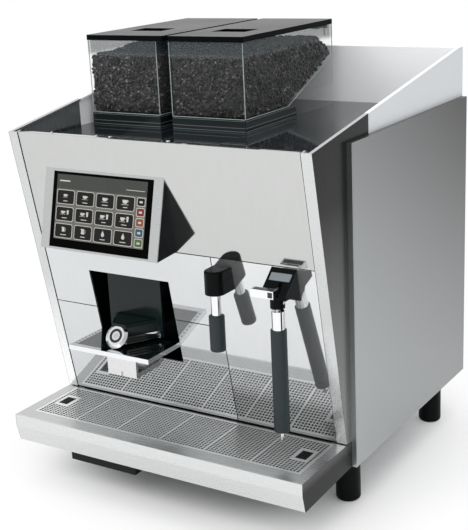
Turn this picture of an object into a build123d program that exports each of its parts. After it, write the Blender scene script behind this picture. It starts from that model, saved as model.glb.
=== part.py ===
from build123d import *
import math
import os

# Bean to cup coffee machine in millimetres.
# X runs to the right, Y to the back and Z up. Z is zero under the feet, X is zero on the middle plane.

# Clearances and overruns
SEAM = 1.2
TOUCH_GAP = 0.3
RUN_FIT = 0.05
SLIDE_FIT = 0.3
OVERRUN = 1.0
CUT_REACH = 700.0

# Leaning front
FRONT_TOP_Y = -197.2
FRONT_TOP_Z = 449.6
FRONT_LOW_Y = -130.2
FRONT_LOW_Z = 93.8

# Body
BODY_HALF = 208.8
SHEET = 2.5
BASE_Z = 58.0
BASE_FLOOR_T = 2.0
BASE_RIM_H = 22.0
BASE_FRONT_Y = -108.0
REAR_Y = 221.0
UPSTAND_Y = 208.0
REAR_TOP_Z = 511.5
JOIN_Y = -64.0
RIM_W = 5.0
STRIP_W = 13.5
STRIP_DEEP = 8.0

# Deck
DECK_Z = 435.0
DECK_T = 3.0
DECK_FRONT_Y = -185.0
DECK_LEDGE_W = 10.0
DECK_LEDGE_T = 2.0
CUP_FIELD_LEFT_X = 46.0
CUP_FIELD_RIGHT_X = BODY_HALF - 12.8
CUP_FIELD_FRONT_Y = -170.0
CUP_FIELD_REAR_Y = 198.0
CUP_FIELD_RISE = 0.6

# Front panels
PANEL_T = 2.5
PANEL_SINK = 0.8
PANEL_LEDGE_W = 9.0
PANEL_LEDGE_T = 2.0
PANEL_LEDGE_TOP_Z = 428.0
LIP_T = 2.6
UPPER_SEAM_Z = 314.7
DRAWER_SEAM_Z = 222.9
TAP_PANEL_X = 58.6

# Outer side panels
SKIN_OUT = 6.2
SKIN_HALF = BODY_HALF + SKIN_OUT
SKIN_T = 1.5
SKIN_FRONT_Y = -119.0
SKIN_LOW_Z = 61.0
SKIN_TOP_Z = 447.0

# Feet
FOOT_R = 15.2
FOOT_ROUND = 5.0
FOOT_X = BODY_HALF - 21.8
FOOT_FRONT_Y = -87.0
FOOT_REAR_Y = 167.0
STUD_R = 5.0
STUD_H = 10.0

# Tray arms under the drip tray
ARM_X = BODY_HALF - 56.8
ARM_W = 24.0
ARM_T = 4.0
ARM_FRONT_Y = -224.0
ARM_REAR_Y = -40.0

# Drip tray
TRAY_HALF = BODY_HALF - 0.3
TRAY_FRONT_Y = -238.0
TRAY_REAR_Y = -112.0
TRAY_TOP_Z = 92.6
TRAY_BEND_Z = 78.0
TRAY_LOW_Z = 56.3
TRAY_REAR_LOW_Z = 61.0
TRAY_LEAN = 5.2
TRAY_SHEET = 2.0

# Drip grid
GRID_HALF = TRAY_HALF - 14.1
GRID_FRONT_Y = -218.2
GRID_REAR_Y = -134.0
GRID_T = 2.0
GRID_FIELDS = 6
GRID_BAR = 5.0
GRID_HOLE = 3.5
GRID_PITCH = 5.0
INSERT_W = 14.0
INSERT_D = 20.0
INSERT_X = TRAY_HALF - 32.5
INSERT_Y = -174.0
INSERT_SLOT = 1.6
INSERT_SLOTS = 4

# Pan inside the drip tray
PAN_WALL = 2.0
PAN_HALF = TRAY_HALF - 5.5
PAN_FRONT_Y = -228.5
PAN_REAR_Y = -114.5
PAN_MOUTH_HALF = TRAY_HALF - 20.5
PAN_MOUTH_FRONT_Y = -212.0
PAN_MOUTH_REAR_Y = -140.0
SUMP_LEFT_X = -134.0
SUMP_RIGHT_X = -34.0
SUMP_FRONT_Y = -222.0
SUMP_REAR_Y = -128.0
SUMP_Z = 40.0

# Display
HOUSING_LEFT_X = -161.0
HOUSING_RIGHT_X = 13.2
HOUSING_TOP_Z = 408.0
HOUSING_LOW_Z = 313.6
HOUSING_LOW_Y = -212.3
HOUSING_REAR_LOW_Z = 316.4
HOUSING_WALL = 2.5
HOUSING_FACE_T = 5.5
GLASS_LEFT_X = -147.6
GLASS_RIGHT_X = 0.0
GLASS_LOW = 3.0
GLASS_TOP = 93.6
GLASS_T = 1.4

# Cup niche
NICHE_LEFT_X = -130.0
NICHE_RIGHT_X = -8.6
NICHE_LOW_Z = 164.0
NICHE_TOP_Z = 273.8
NICHE_REAR_Y = -87.0
NICHE_WALL = 2.0
RAIL_W = 16.0
RAIL_D = 6.0
RAIL_LOW_Z = 196.0
RAIL_HEAD_GAP = 1.8

# Coffee outlet
OUTLET_SLIDER_H = 20.0
OUTLET_SLIDER_W = 32.0
OUTLET_SLIDER_D = 6.0
OUTLET_ARM_W = 44.0
OUTLET_Z = 203.0
OUTLET_ARM_T = 12.0
OUTLET_HEAD_HALF = 36.0
OUTLET_NOSE_HALF = 12.0
OUTLET_WING_Y = -153.0
OUTLET_NOSE_Y = -191.0
OUTLET_HEAD_T = 17.0
OUTLET_HEAD_ROUND = 5.0
APRON_HALF = 40.0
APRON_T = 3.6
APRON_LOW_Z = 196.5
APRON_TOP_Z = 322.0
APRON_GAP = 1.5
BOW_T = 2.6
BOW_LOW_Z = 196.0
BOW_H = 9.0
NOSE_R = 12.6
NOSE_T = 5.0
NOSE_Z = 204.0
NOSE_TILT = 35.0
NOSE_RING_R = 9.0
NOSE_RING_T = 1.0
NOSE_BUTTON_R = 5.6
SPOUT_R = 5.0
SPOUT_BORE_R = 2.6
SPOUT_APART = 22.0
SPOUT_Y = -176.0
SPOUT_LOW_Z = 193.6

# Cup shelf
SHELF_Z = 186.0
SHELF_T = 6.0
SHELF_FRONT_Y = -213.0
SHELF_REAR_Y = -142.0
SHELF_RIM = 7.0
SHELF_PLATE_T = 3.0
SHELF_HOLE = 3.0
SHELF_PITCH = 7.0
SHELF_EDGE_HOLE_R = 1.3
SHELF_EDGE_HOLES = 9
RUNNER_W = 3.5
RUNNER_T = 2.6

# Grip of the grounds drawer
GRIP_LEFT_X = -94.0
GRIP_RIGHT_X = -50.0
GRIP_FRONT_Y = -185.0
GRIP_LOW_Z = 150.0
GRIP_WEB_T = 6.0
GRIP_LIP_T = 4.0
GRIP_LIP_TOP_Z = 185.0
GRIP_NOTCH_W = 3.0
GRIP_NOTCH_H = 6.0

# Grounds bin
BIN_LEFT_X = -179.0
BIN_RIGHT_X = 48.0
BIN_REAR_Y = 62.0
BIN_LOW_Z = 98.0
BIN_TOP_Z = 158.0
BIN_WALL = 2.0
BIN_RAIL_W = 12.0
BIN_RAIL_T = 3.0
BIN_RAIL_FRONT_Y = -104.0

# Hot water tap
TAP_Y = -187.0
WATER_X = 74.0
WATER_BLOCK_R = 12.0
WATER_BLOCK_LOW_Z = 278.0
WATER_BLOCK_TOP_Z = 306.0
WATER_BLOCK_ROUND = 2.0
WATER_TUBE_R = 5.8
WATER_TUBE_TOP_Z = 292.0
WATER_BORE_R = 3.4
NOZZLE_R = 9.2
NOZZLE_TOP_Z = 252.0
NOZZLE_LOW_Z = 209.0
NOZZLE_GRIP_H = 16.0
NOZZLE_ROUND = 1.5

# Steam tap
STEAM_X = 155.5
STEAM_LEFT_X = 140.0
STEAM_RIGHT_X = 172.0
STEAM_TOP_Z = 313.6
STEAM_LOW_Z = 275.0
STEAM_BROW_Y = -189.0
STEAM_BROW_Z = 298.0
STEAM_NOSE_Y = -197.0
STEAM_NOSE_TOP_Z = 292.0
STEAM_NOSE_Z = 285.0
STEAM_CHIN_Y = -175.0
INSET_W = 26.0
INSET_H = 10.0
INSET_T = 1.6
COLLAR_R = 8.4
COLLAR_H = 12.0
COLLAR_PIN_R = 4.0
COLLAR_PIN_H = 5.0
BALL_R = 5.6
BALL_DROP = 5.5
BALL_MOUTH_R = 7.6
NECK_R = 3.2
WAND_PIN_R = 1.8
STEAM_TUBE_R = 7.4
STEAM_TUBE_TOP_Z = 269.0
STEAM_BORE_R = 3.0
SLEEVE_R = 9.2
SLEEVE_TOP_Z = 247.0
SLEEVE_LOW_Z = 125.0
TIP_R = 2.3
TIP_LOW_Z = 113.4
LEVER_LEFT_X = 133.0
LEVER_RIGHT_X = 162.0
LEVER_FRONT_Y = -207.0
LEVER_LOW_Z = 288.5
LEVER_H = 9.0
LEVER_T = 2.0
LEVER_ARM_W = 4.0
LEVER_PIVOT_Y = -185.0
LEVER_PIVOT_Z = 294.0
LEVER_EYE_R = 3.5
LEVER_PIN_R = 1.6
LEVER_SLOT_GAP = 0.4
LEVER_SLOT_DROP = 2.2

# Bean hoppers
HOPPER_W = 108.5
HOPPER_LEFT_X = -143.0
HOPPER_RIGHT_X = -16.2
HOPPER_FRONT_Y = -48.0
HOPPER_REAR_Y = 182.0
HOPPER_FLOOR_Z = 450.0
HOPPER_TOP_Z = 543.5
HOPPER_BEND_Y = 57.0
HOPPER_BEND_Z = 501.0
HOPPER_WALL = 2.5
PLINTH_REAR_Y = 77.0
THROAT_Y = 5.0
THROAT_R = 24.0
THROAT_BORE_R = 20.0
THROAT_LOW_Z = 426.0
GATE_W = 56.0
GATE_T = 3.0
GATE_Z = 440.5
GATE_FIT = 0.2
GATE_REAR_Y = 69.0
GATE_GRIP_W = 24.0
GATE_GRIP_D = 10.0
GATE_GRIP_T = 1.2

# Beans
BEAN_GAP = 0.4
BEAN_FRONT_Z = 527.0
BEAN_CROWN_Z = 534.0
BEAN_CROWN_FRONT_Y = 60.0
BEAN_CROWN_REAR_Y = 145.0
BEAN_REAR_Z = 511.0

# Hopper lids
LID_T = 6.6
LID_GAP = 0.3
LID_FRONT_Y = -49.5
LID_REAR_Y = 182.0
LEFT_LID_X0 = -198.0
LEFT_LID_X1 = -77.6
RIGHT_LID_X0 = -69.8
RIGHT_LID_X1 = 39.0
LID_ROUND = 2.0
POCKET_W = 50.0
POCKET_D = 34.0
POCKET_H = 4.6
POCKET_Y = 22.5
HINGE_Y = 187.0
HINGE_Z = 539.4
HINGE_PIN_R = 2.0
HINGE_PIN_HALF = 44.0
HINGE_ARM_X = 26.0
HINGE_ARM_W = 10.0
HINGE_ARM_R = 3.6
LUG_X = 37.0
LUG_W = 8.0
LUG_R = 4.0
LUG_DROP = 12.0
LOCK_R = 4.6
LOCK_SIDE = 17.0
LOCK_BACK = 9.5
LOCK_HEAD_H = 2.0
LOCK_STEM_R = 3.0
LOCK_CAM_L = 16.0
LOCK_CAM_W = 7.0
LOCK_CAM_T = 1.6
LOCK_SLOT_W = 1.4
LOCK_SLOT_DEEP = 0.6

# Grinders
MILL_R = 38.0
MILL_LOW_Z = 330.0
MILL_FLOOR_T = 20.0
MILL_CAVITY_R = 31.0
MILL_NECK_R = 28.0
MOTOR_R = 32.0
MOTOR_LOW_Z = 236.0
SHAFT_R = 6.0
SHAFT_LOW_Z = 262.0
BURR_R = 30.0
BURR_Z = 356.0
BURR_T = 9.0
BURR_CONE_R = 14.0
BURR_CONE_TOP_R = 7.0
BURR_CONE_H = 20.0
BURR_SLOTS = 10
BURR_SLOT_W = 2.4
BURR_SLOT_DEEP = 2.0
CHUTE_R = 9.0
CHUTE_BORE_R = 7.0
CHUTE_Z = 352.0
CHUTE_END_Y = -66.0
CHUTE_END_Z = 309.0
CHUTE_END_SIDE = 15.0

# Brew unit
BREW_X = -71.0
BREW_HALF = 43.0
BREW_REAR_Y = -29.0
BREW_Y = -57.0
BREW_LOW_Z = 163.0
BREW_TOP_Z = 300.0
BREW_PLATE_T = 4.0
BREW_HOLE_R = 24.0
CHAMBER_R = 26.0
CHAMBER_BORE_R = 22.0
CHAMBER_LOW_Z = 196.0
CHAMBER_TOP_Z = 236.0
PISTON_FIT = 0.08
PISTON_LOW_Z = 244.0
PISTON_T = 12.0
PISTON_ROD_R = 6.0
PISTON_ROD_TOP_Z = 316.0
PISTON_ARM_Z = 262.0
PISTON_ARM_T = 10.0
PISTON_ARM_W = 14.0
SCREW_X = -40.0
SCREW_Y = -40.0
SCREW_R = 3.0
SCREW_TOP_Z = 308.0
SCREW_GEAR_R = 9.0
SCREW_GEAR_T = 5.0
SCREW_GEAR_TEETH = 12
SCREW_TOOTH = 1.6

# Boiler and its pipes
BOILER_X = 128.0
BOILER_Y = 30.0
BOILER_R = 52.0
BOILER_TOP_Z = 320.0
BOILER_FOOT_H = 14.0
BOILER_FOOT_R = 40.0
BOILER_ROUND = 18.0
PIPE_R = 4.0
PIPE_BORE_R = 2.6
PIPE_UP_Z = 352.0
PIPE_BEND = 14.0
PIPE_STEAM_SIDE = 22.0
PIPE_WATER_SIDE = -24.0
PIPE_NIPPLE_Z = 300.0
PIPE_END_BACK = 0.9

# Pump
PUMP_X = -60.0
PUMP_Y = 130.0
PUMP_R = 26.0
PUMP_L = 110.0
PUMP_FOOT_W = 44.0
PUMP_FOOT_GAP_Z = 8.0
PUMP_HEAD_R = 19.0
PUMP_HEAD_L = 26.0

# Vents in the back
VENT_X = 96.0
VENT_Z = 392.0
VENT_SLOTS = 7
VENT_SLOT_H = 4.0
VENT_PITCH = 10.0
VENT_W = 70.0

# Mains switch and fittings in the back
SWITCH_X = 150.0
SWITCH_Z = 130.0
SWITCH_W = 18.0
SWITCH_H = 26.0
SWITCH_RIM = 3.0
SWITCH_T = 8.0
SWITCH_PROUD = 2.0
SWITCH_GAP = 0.5
SWITCH_PIN_R = 1.5
SWITCH_TILT = 7.0
GLAND_X = 184.0
GLAND_R = 8.0
GLAND_L = 14.0
INLET_X = -150.0
INLET_R = 9.5
INLET_L = 17.0
INLET_BORE_R = 6.0

front_lean = math.atan2(FRONT_LOW_Y - FRONT_TOP_Y, FRONT_TOP_Z - FRONT_LOW_Z)
front_rise = (FRONT_TOP_Z - FRONT_LOW_Z) / math.cos(front_lean)
front_place = Plane(
    origin=(0, FRONT_LOW_Y, FRONT_LOW_Z),
    x_dir=(1, 0, 0),
    z_dir=(0, -math.cos(front_lean), -math.sin(front_lean)),
).location

wall_inside = BODY_HALF - SHEET
strip_inside = BODY_HALF - STRIP_W
panel_back = PANEL_SINK + PANEL_T
niche_middle = (NICHE_LEFT_X + NICHE_RIGHT_X) / 2
shelf_top = SHELF_Z + SHELF_T


def block(x0, x1, y0, y1, z0, z1):
    """An upright box between two corners."""
    return Pos((x0 + x1) / 2, (y0 + y1) / 2, (z0 + z1) / 2) * Box(x1 - x0, y1 - y0, z1 - z0)


def side_plate(points, x0, x1):
    """A plate cut to a side outline of (y, z) points, reaching from x0 to x1."""
    face = Plane.YZ * make_face(Polyline(*points, close=True))
    return Pos(x0, 0, 0) * extrude(face, amount=x1 - x0, dir=(1, 0, 0))


def plan_plate(points, z0, z1):
    """A plate cut to a plan outline of (x, y) points, reaching from z0 to z1."""
    face = make_face(Polyline(*points, close=True))
    return Pos(0, 0, z0) * extrude(face, amount=z1 - z0, dir=(0, 0, 1))


def upright(x, y, z0, z1, radius):
    """A standing round bar."""
    return Pos(x, y, (z0 + z1) / 2) * Cylinder(radius, z1 - z0)


def lying(x0, x1, y, z, radius):
    """A round bar along X."""
    return Pos((x0 + x1) / 2, y, z) * Rot(0, 90, 0) * Cylinder(radius, x1 - x0)


def rod(start, end, radius):
    """A round bar from one point to another."""
    line = Vector(*end) - Vector(*start)
    place = Plane(origin=start, z_dir=line).location
    return place * Pos(0, 0, line.length / 2) * Cylinder(radius, line.length)


def front_y(z, depth=0):
    """The place of the leaning front at a height, or of a face lying that deep behind it."""
    share_up = (z - FRONT_LOW_Z) / (FRONT_TOP_Z - FRONT_LOW_Z)
    return FRONT_LOW_Y + (FRONT_TOP_Y - FRONT_LOW_Y) * share_up + depth / math.cos(front_lean)


def front_slab(x0, x1, z0, z1, near, far):
    """A slab in the leaning front, from depth near to depth far behind its face."""
    v0 = (z0 - FRONT_LOW_Z) / math.cos(front_lean)
    v1 = (z1 - FRONT_LOW_Z) / math.cos(front_lean)
    place = front_place * Pos((x0 + x1) / 2, (v0 + v1) / 2, -(near + far) / 2)
    return place * Box(x1 - x0, v1 - v0, far - near)


def ahead_of(depth):
    """All space in front of a face that lies so deep behind the leaning front."""
    return front_slab(-CUT_REACH, CUT_REACH, -CUT_REACH, CUT_REACH, -CUT_REACH, depth)


def behind(depth):
    """All space behind a face that lies so deep behind the leaning front."""
    return front_slab(-CUT_REACH, CUT_REACH, -CUT_REACH, CUT_REACH, depth, CUT_REACH)


def wall_top(y):
    """Height of the rising top edge of the side walls."""
    share_back = (y - FRONT_TOP_Y) / (UPSTAND_Y - FRONT_TOP_Y)
    return FRONT_TOP_Z + (REAR_TOP_Z - FRONT_TOP_Z) * share_back


def mirrored(shape):
    """The same shape on the other side of the middle plane."""
    return mirror(shape, Plane.YZ)


def save(name, shape):
    export_step(shape, f"parts/{name}.step")


def make_base_pan():
    """Folded floor pan with the drawer rails and the two arms under the drip tray."""
    pan = block(-wall_inside, wall_inside, BASE_FRONT_Y, REAR_Y - SHEET, BASE_Z, BASE_Z + BASE_RIM_H)
    pan -= block(
        -wall_inside + BASE_FLOOR_T, wall_inside - BASE_FLOOR_T,
        BASE_FRONT_Y + BASE_FLOOR_T, REAR_Y - SHEET - BASE_FLOOR_T,
        BASE_Z + BASE_FLOOR_T, BASE_Z + BASE_RIM_H + OVERRUN,
    )
    for side in (-1, 1):
        pan += block(
            side * ARM_X - ARM_W / 2, side * ARM_X + ARM_W / 2,
            ARM_FRONT_Y, ARM_REAR_Y, BASE_Z - ARM_T, BASE_Z,
        )
        for foot_y in (FOOT_FRONT_Y, FOOT_REAR_Y):
            pan -= upright(
                side * FOOT_X, foot_y, BASE_Z - OVERRUN, BASE_Z + BASE_FLOOR_T + OVERRUN,
                STUD_R + TOUCH_GAP,
            )
    for inner_x, outer_x in (
        (BIN_LEFT_X + BIN_RAIL_T, BIN_LEFT_X),
        (BIN_RIGHT_X - BIN_RAIL_T, BIN_RIGHT_X),
    ):
        toward = math.copysign(BIN_RAIL_W, inner_x - outer_x)
        x0, x1 = sorted((inner_x, outer_x))
        pan += block(x0, x1, BIN_RAIL_FRONT_Y, BIN_REAR_Y, BASE_Z, BIN_LOW_Z)
        x0, x1 = sorted((outer_x, outer_x + toward))
        pan += block(x0, x1, BIN_RAIL_FRONT_Y, BIN_REAR_Y, BIN_LOW_Z - BIN_RAIL_T, BIN_LOW_Z)
    return pan


def make_side_frame():
    """Right side of the front module: wall, front strip, inner ledge and rising top rim."""
    wall = [
        (FRONT_TOP_Y, FRONT_TOP_Z),
        (FRONT_LOW_Y, FRONT_LOW_Z),
        (BASE_FRONT_Y, FRONT_LOW_Z),
        (BASE_FRONT_Y, BASE_Z),
        (JOIN_Y, BASE_Z),
        (JOIN_Y, wall_top(JOIN_Y)),
    ]
    rim = [
        (FRONT_TOP_Y, FRONT_TOP_Z),
        (JOIN_Y, wall_top(JOIN_Y)),
        (JOIN_Y, wall_top(JOIN_Y) - SHEET),
        (FRONT_TOP_Y, FRONT_TOP_Z - SHEET),
    ]
    frame = side_plate(wall, wall_inside, BODY_HALF)
    frame += side_plate(rim, BODY_HALF - RIM_W, BODY_HALF) - ahead_of(0)
    frame += front_slab(strip_inside, BODY_HALF, FRONT_LOW_Z, FRONT_TOP_Z, 0, SHEET)
    frame += front_slab(strip_inside, strip_inside + SHEET, FRONT_LOW_Z, FRONT_TOP_Z, 0, STRIP_DEEP)
    frame += front_slab(
        strip_inside - PANEL_LEDGE_W, strip_inside + SHEET, FRONT_LOW_Z, PANEL_LEDGE_TOP_Z,
        panel_back, panel_back + PANEL_LEDGE_T,
    )
    frame += block(
        wall_inside - DECK_LEDGE_W, wall_inside + SHEET / 2, DECK_FRONT_Y + DECK_LEDGE_W, JOIN_Y,
        DECK_Z - DECK_T - DECK_LEDGE_T, DECK_Z - DECK_T,
    )
    return frame


def make_rear_housing():
    """Folded rear body: two rising side walls, the back with its vents, and the upstand."""
    seam_y = JOIN_Y + TOUCH_GAP
    wall = [
        (seam_y, BASE_Z),
        (REAR_Y, BASE_Z),
        (REAR_Y, REAR_TOP_Z),
        (UPSTAND_Y, REAR_TOP_Z),
        (seam_y, wall_top(seam_y)),
    ]
    rim = [
        (UPSTAND_Y, REAR_TOP_Z),
        (seam_y, wall_top(seam_y)),
        (seam_y, wall_top(seam_y) - SHEET),
        (UPSTAND_Y, REAR_TOP_Z - SHEET),
    ]
    half = side_plate(wall, wall_inside, BODY_HALF) + side_plate(rim, BODY_HALF - RIM_W, BODY_HALF)
    half += block(
        wall_inside - DECK_LEDGE_W, wall_inside + SHEET / 2, seam_y, UPSTAND_Y + SHEET,
        DECK_Z - DECK_T - DECK_LEDGE_T, DECK_Z - DECK_T,
    )
    housing = half + mirrored(half)
    housing += block(-BODY_HALF, BODY_HALF, REAR_Y - SHEET, REAR_Y, BASE_Z, REAR_TOP_Z)
    housing += block(-BODY_HALF, BODY_HALF, UPSTAND_Y, REAR_Y, REAR_TOP_Z - SHEET, REAR_TOP_Z)
    housing += block(-BODY_HALF, BODY_HALF, UPSTAND_Y, UPSTAND_Y + SHEET, DECK_Z - DECK_T, REAR_TOP_Z)
    back_y0 = REAR_Y - SHEET - OVERRUN
    back_y1 = REAR_Y + OVERRUN
    for row in range(VENT_SLOTS):
        slot_z = VENT_Z + (row - (VENT_SLOTS - 1) / 2) * VENT_PITCH
        housing -= block(
            VENT_X - VENT_W / 2, VENT_X + VENT_W / 2, back_y0, back_y1,
            slot_z - VENT_SLOT_H / 2, slot_z + VENT_SLOT_H / 2,
        )
    housing -= block(
        SWITCH_X - SWITCH_W / 2, SWITCH_X + SWITCH_W / 2, back_y0, back_y1,
        SWITCH_Z - SWITCH_H / 2, SWITCH_Z + SWITCH_H / 2,
    )
    for hole_x, hole_r in ((GLAND_X, GLAND_R), (INLET_X, INLET_R)):
        hole = Cylinder(hole_r + TOUCH_GAP, REAR_Y - UPSTAND_Y)
        housing -= Pos(hole_x, REAR_Y, SWITCH_Z) * Rot(90, 0, 0) * hole
    return housing


def make_deck_plate():
    """Level deck between the side walls, with a low field for cups and the two hopper throats."""
    deck = block(-wall_inside, wall_inside, DECK_FRONT_Y, UPSTAND_Y, DECK_Z - DECK_T, DECK_Z)
    deck += block(
        CUP_FIELD_LEFT_X, CUP_FIELD_RIGHT_X, CUP_FIELD_FRONT_Y, CUP_FIELD_REAR_Y,
        DECK_Z - DECK_T / 2, DECK_Z + CUP_FIELD_RISE,
    )
    for hopper_x in (HOPPER_LEFT_X, HOPPER_RIGHT_X):
        deck -= upright(
            hopper_x, THROAT_Y, DECK_Z - DECK_T - OVERRUN, DECK_Z + OVERRUN, THROAT_R + TOUCH_GAP,
        )
    return deck


def make_side_panel():
    """Right outer side panel, a shallow folded tray that opens towards the body."""
    panel = block(BODY_HALF, SKIN_HALF, SKIN_FRONT_Y, REAR_Y, SKIN_LOW_Z, SKIN_TOP_Z)
    panel -= block(
        BODY_HALF - OVERRUN, SKIN_HALF - SKIN_T, SKIN_FRONT_Y + SKIN_T, REAR_Y - SKIN_T,
        SKIN_LOW_Z + SKIN_T, SKIN_TOP_Z - SKIN_T,
    )
    return panel


def make_upper_panel():
    """Upper front panel with its folded top lip that meets the deck."""
    top_z = FRONT_TOP_Z
    half = strip_inside - SEAM
    panel = front_slab(-half, half, UPPER_SEAM_Z + SEAM / 2, top_z, PANEL_SINK, panel_back)
    lip = [
        (front_y(top_z, PANEL_SINK), top_z),
        (DECK_FRONT_Y, top_z),
        (DECK_FRONT_Y, DECK_Z - DECK_T),
        (DECK_FRONT_Y - LIP_T, DECK_Z - DECK_T),
        (DECK_FRONT_Y - LIP_T, top_z - LIP_T),
        (front_y(top_z - LIP_T, PANEL_SINK), top_z - LIP_T),
    ]
    return panel + side_plate(lip, -half, half)


def niche_cut():
    """The clear space of the cup niche, carried out through the front."""
    return block(
        NICHE_LEFT_X, NICHE_RIGHT_X, FRONT_TOP_Y - OVERRUN, NICHE_REAR_Y, NICHE_LOW_Z, NICHE_TOP_Z,
    )


def make_middle_panel():
    """Panel above the grounds drawer, cut out round the top of the niche."""
    panel = front_slab(
        -strip_inside + SEAM, TAP_PANEL_X - SEAM / 2,
        DRAWER_SEAM_Z + SEAM / 2, UPPER_SEAM_Z - SEAM / 2, PANEL_SINK, panel_back,
    )
    return panel - niche_cut()


def make_drawer_front():
    """Lower panel that pulls out with the grounds bin, notched round the niche."""
    panel = front_slab(
        -strip_inside + SEAM, TAP_PANEL_X - SEAM / 2,
        FRONT_LOW_Z + SEAM / 2, DRAWER_SEAM_Z - SEAM / 2, PANEL_SINK, panel_back,
    )
    return panel - niche_cut()


def make_tap_panel():
    """Panel on the right that carries both taps."""
    panel = front_slab(
        TAP_PANEL_X + SEAM / 2, strip_inside - SEAM,
        FRONT_LOW_Z + SEAM / 2, UPPER_SEAM_Z - SEAM / 2, PANEL_SINK, panel_back,
    )
    for pipe_x in (WATER_X, STEAM_X):
        panel -= rod(
            (pipe_x, TAP_Y, PIPE_NIPPLE_Z), (pipe_x, BASE_FRONT_Y, PIPE_NIPPLE_Z), PIPE_R + TOUCH_GAP,
        )
    return panel


def make_drawer_grip():
    """Hooked pull on the drawer front, with a small drain notch in its lip."""
    outline = [
        (front_y(GRIP_LOW_Z, PANEL_SINK), GRIP_LOW_Z),
        (GRIP_FRONT_Y, GRIP_LOW_Z),
        (GRIP_FRONT_Y, GRIP_LIP_TOP_Z),
        (GRIP_FRONT_Y + GRIP_LIP_T, GRIP_LIP_TOP_Z),
        (GRIP_FRONT_Y + GRIP_LIP_T, GRIP_LOW_Z + GRIP_WEB_T),
        (front_y(GRIP_LOW_Z + GRIP_WEB_T, PANEL_SINK), GRIP_LOW_Z + GRIP_WEB_T),
    ]
    grip = side_plate(outline, GRIP_LEFT_X, GRIP_RIGHT_X)
    notch_x = (GRIP_LEFT_X + GRIP_RIGHT_X) / 2
    grip -= block(
        notch_x - GRIP_NOTCH_W / 2, notch_x + GRIP_NOTCH_W / 2,
        GRIP_FRONT_Y - OVERRUN, GRIP_FRONT_Y + GRIP_LIP_T / 2,
        GRIP_LOW_Z - OVERRUN, GRIP_LOW_Z + GRIP_NOTCH_H,
    )
    return grip


def make_grounds_bin():
    """Open bin behind the drawer front."""
    bin_front_y = front_y(BIN_LOW_Z) - OVERRUN
    outer = block(BIN_LEFT_X, BIN_RIGHT_X, bin_front_y - CUT_REACH / 10, BIN_REAR_Y, BIN_LOW_Z, BIN_TOP_Z)
    outer -= ahead_of(panel_back)
    inner = block(
        BIN_LEFT_X + BIN_WALL, BIN_RIGHT_X - BIN_WALL, bin_front_y - CUT_REACH / 10, BIN_REAR_Y - BIN_WALL,
        BIN_LOW_Z + BIN_WALL, BIN_TOP_Z + OVERRUN,
    )
    inner -= ahead_of(panel_back + BIN_WALL)
    return outer - inner


def make_niche_liner():
    """Black box of the cup niche with a slot for the apron, the shelf runners and the outlet's rail."""
    outer = block(
        NICHE_LEFT_X - NICHE_WALL, NICHE_RIGHT_X + NICHE_WALL, FRONT_TOP_Y, NICHE_REAR_Y + NICHE_WALL,
        NICHE_LOW_Z - NICHE_WALL, NICHE_TOP_Z + NICHE_WALL,
    )
    liner = outer - niche_cut() - ahead_of(panel_back)
    liner -= block(
        niche_middle - APRON_HALF - APRON_GAP, niche_middle + APRON_HALF + APRON_GAP,
        FRONT_TOP_Y, OUTLET_WING_Y + APRON_T + APRON_GAP,
        NICHE_TOP_Z - OVERRUN, NICHE_TOP_Z + NICHE_WALL + OVERRUN,
    )
    for x0, x1 in (
        (NICHE_LEFT_X - NICHE_WALL / 2, NICHE_LEFT_X + RUNNER_W),
        (NICHE_RIGHT_X - RUNNER_W, NICHE_RIGHT_X + NICHE_WALL / 2),
    ):
        liner += block(
            x0, x1, front_y(SHELF_Z, panel_back + OVERRUN), NICHE_REAR_Y + NICHE_WALL / 2,
            SHELF_Z - RUNNER_T, SHELF_Z,
        )
    liner += block(
        niche_middle - RAIL_W / 2, niche_middle + RAIL_W / 2, NICHE_REAR_Y - RAIL_D,
        NICHE_REAR_Y + NICHE_WALL / 2, RAIL_LOW_Z, NICHE_TOP_Z - RAIL_HEAD_GAP,
    )
    return liner


def outlet_outline(inset, tail):
    """Plan of the outlet head, a nose between two wings, with an inset and a tail on each wing."""
    run = OUTLET_WING_Y - OUTLET_NOSE_Y
    spread = (OUTLET_HEAD_HALF - OUTLET_NOSE_HALF) / run
    inset_x = inset * math.hypot(1, spread)
    nose_x = OUTLET_NOSE_HALF - inset_x + inset * spread
    wing_x = OUTLET_HEAD_HALF - inset_x + tail * spread
    return [
        (niche_middle - wing_x, OUTLET_WING_Y + tail),
        (niche_middle - nose_x, OUTLET_NOSE_Y + inset),
        (niche_middle + nose_x, OUTLET_NOSE_Y + inset),
        (niche_middle + wing_x, OUTLET_WING_Y + tail),
    ]


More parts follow.
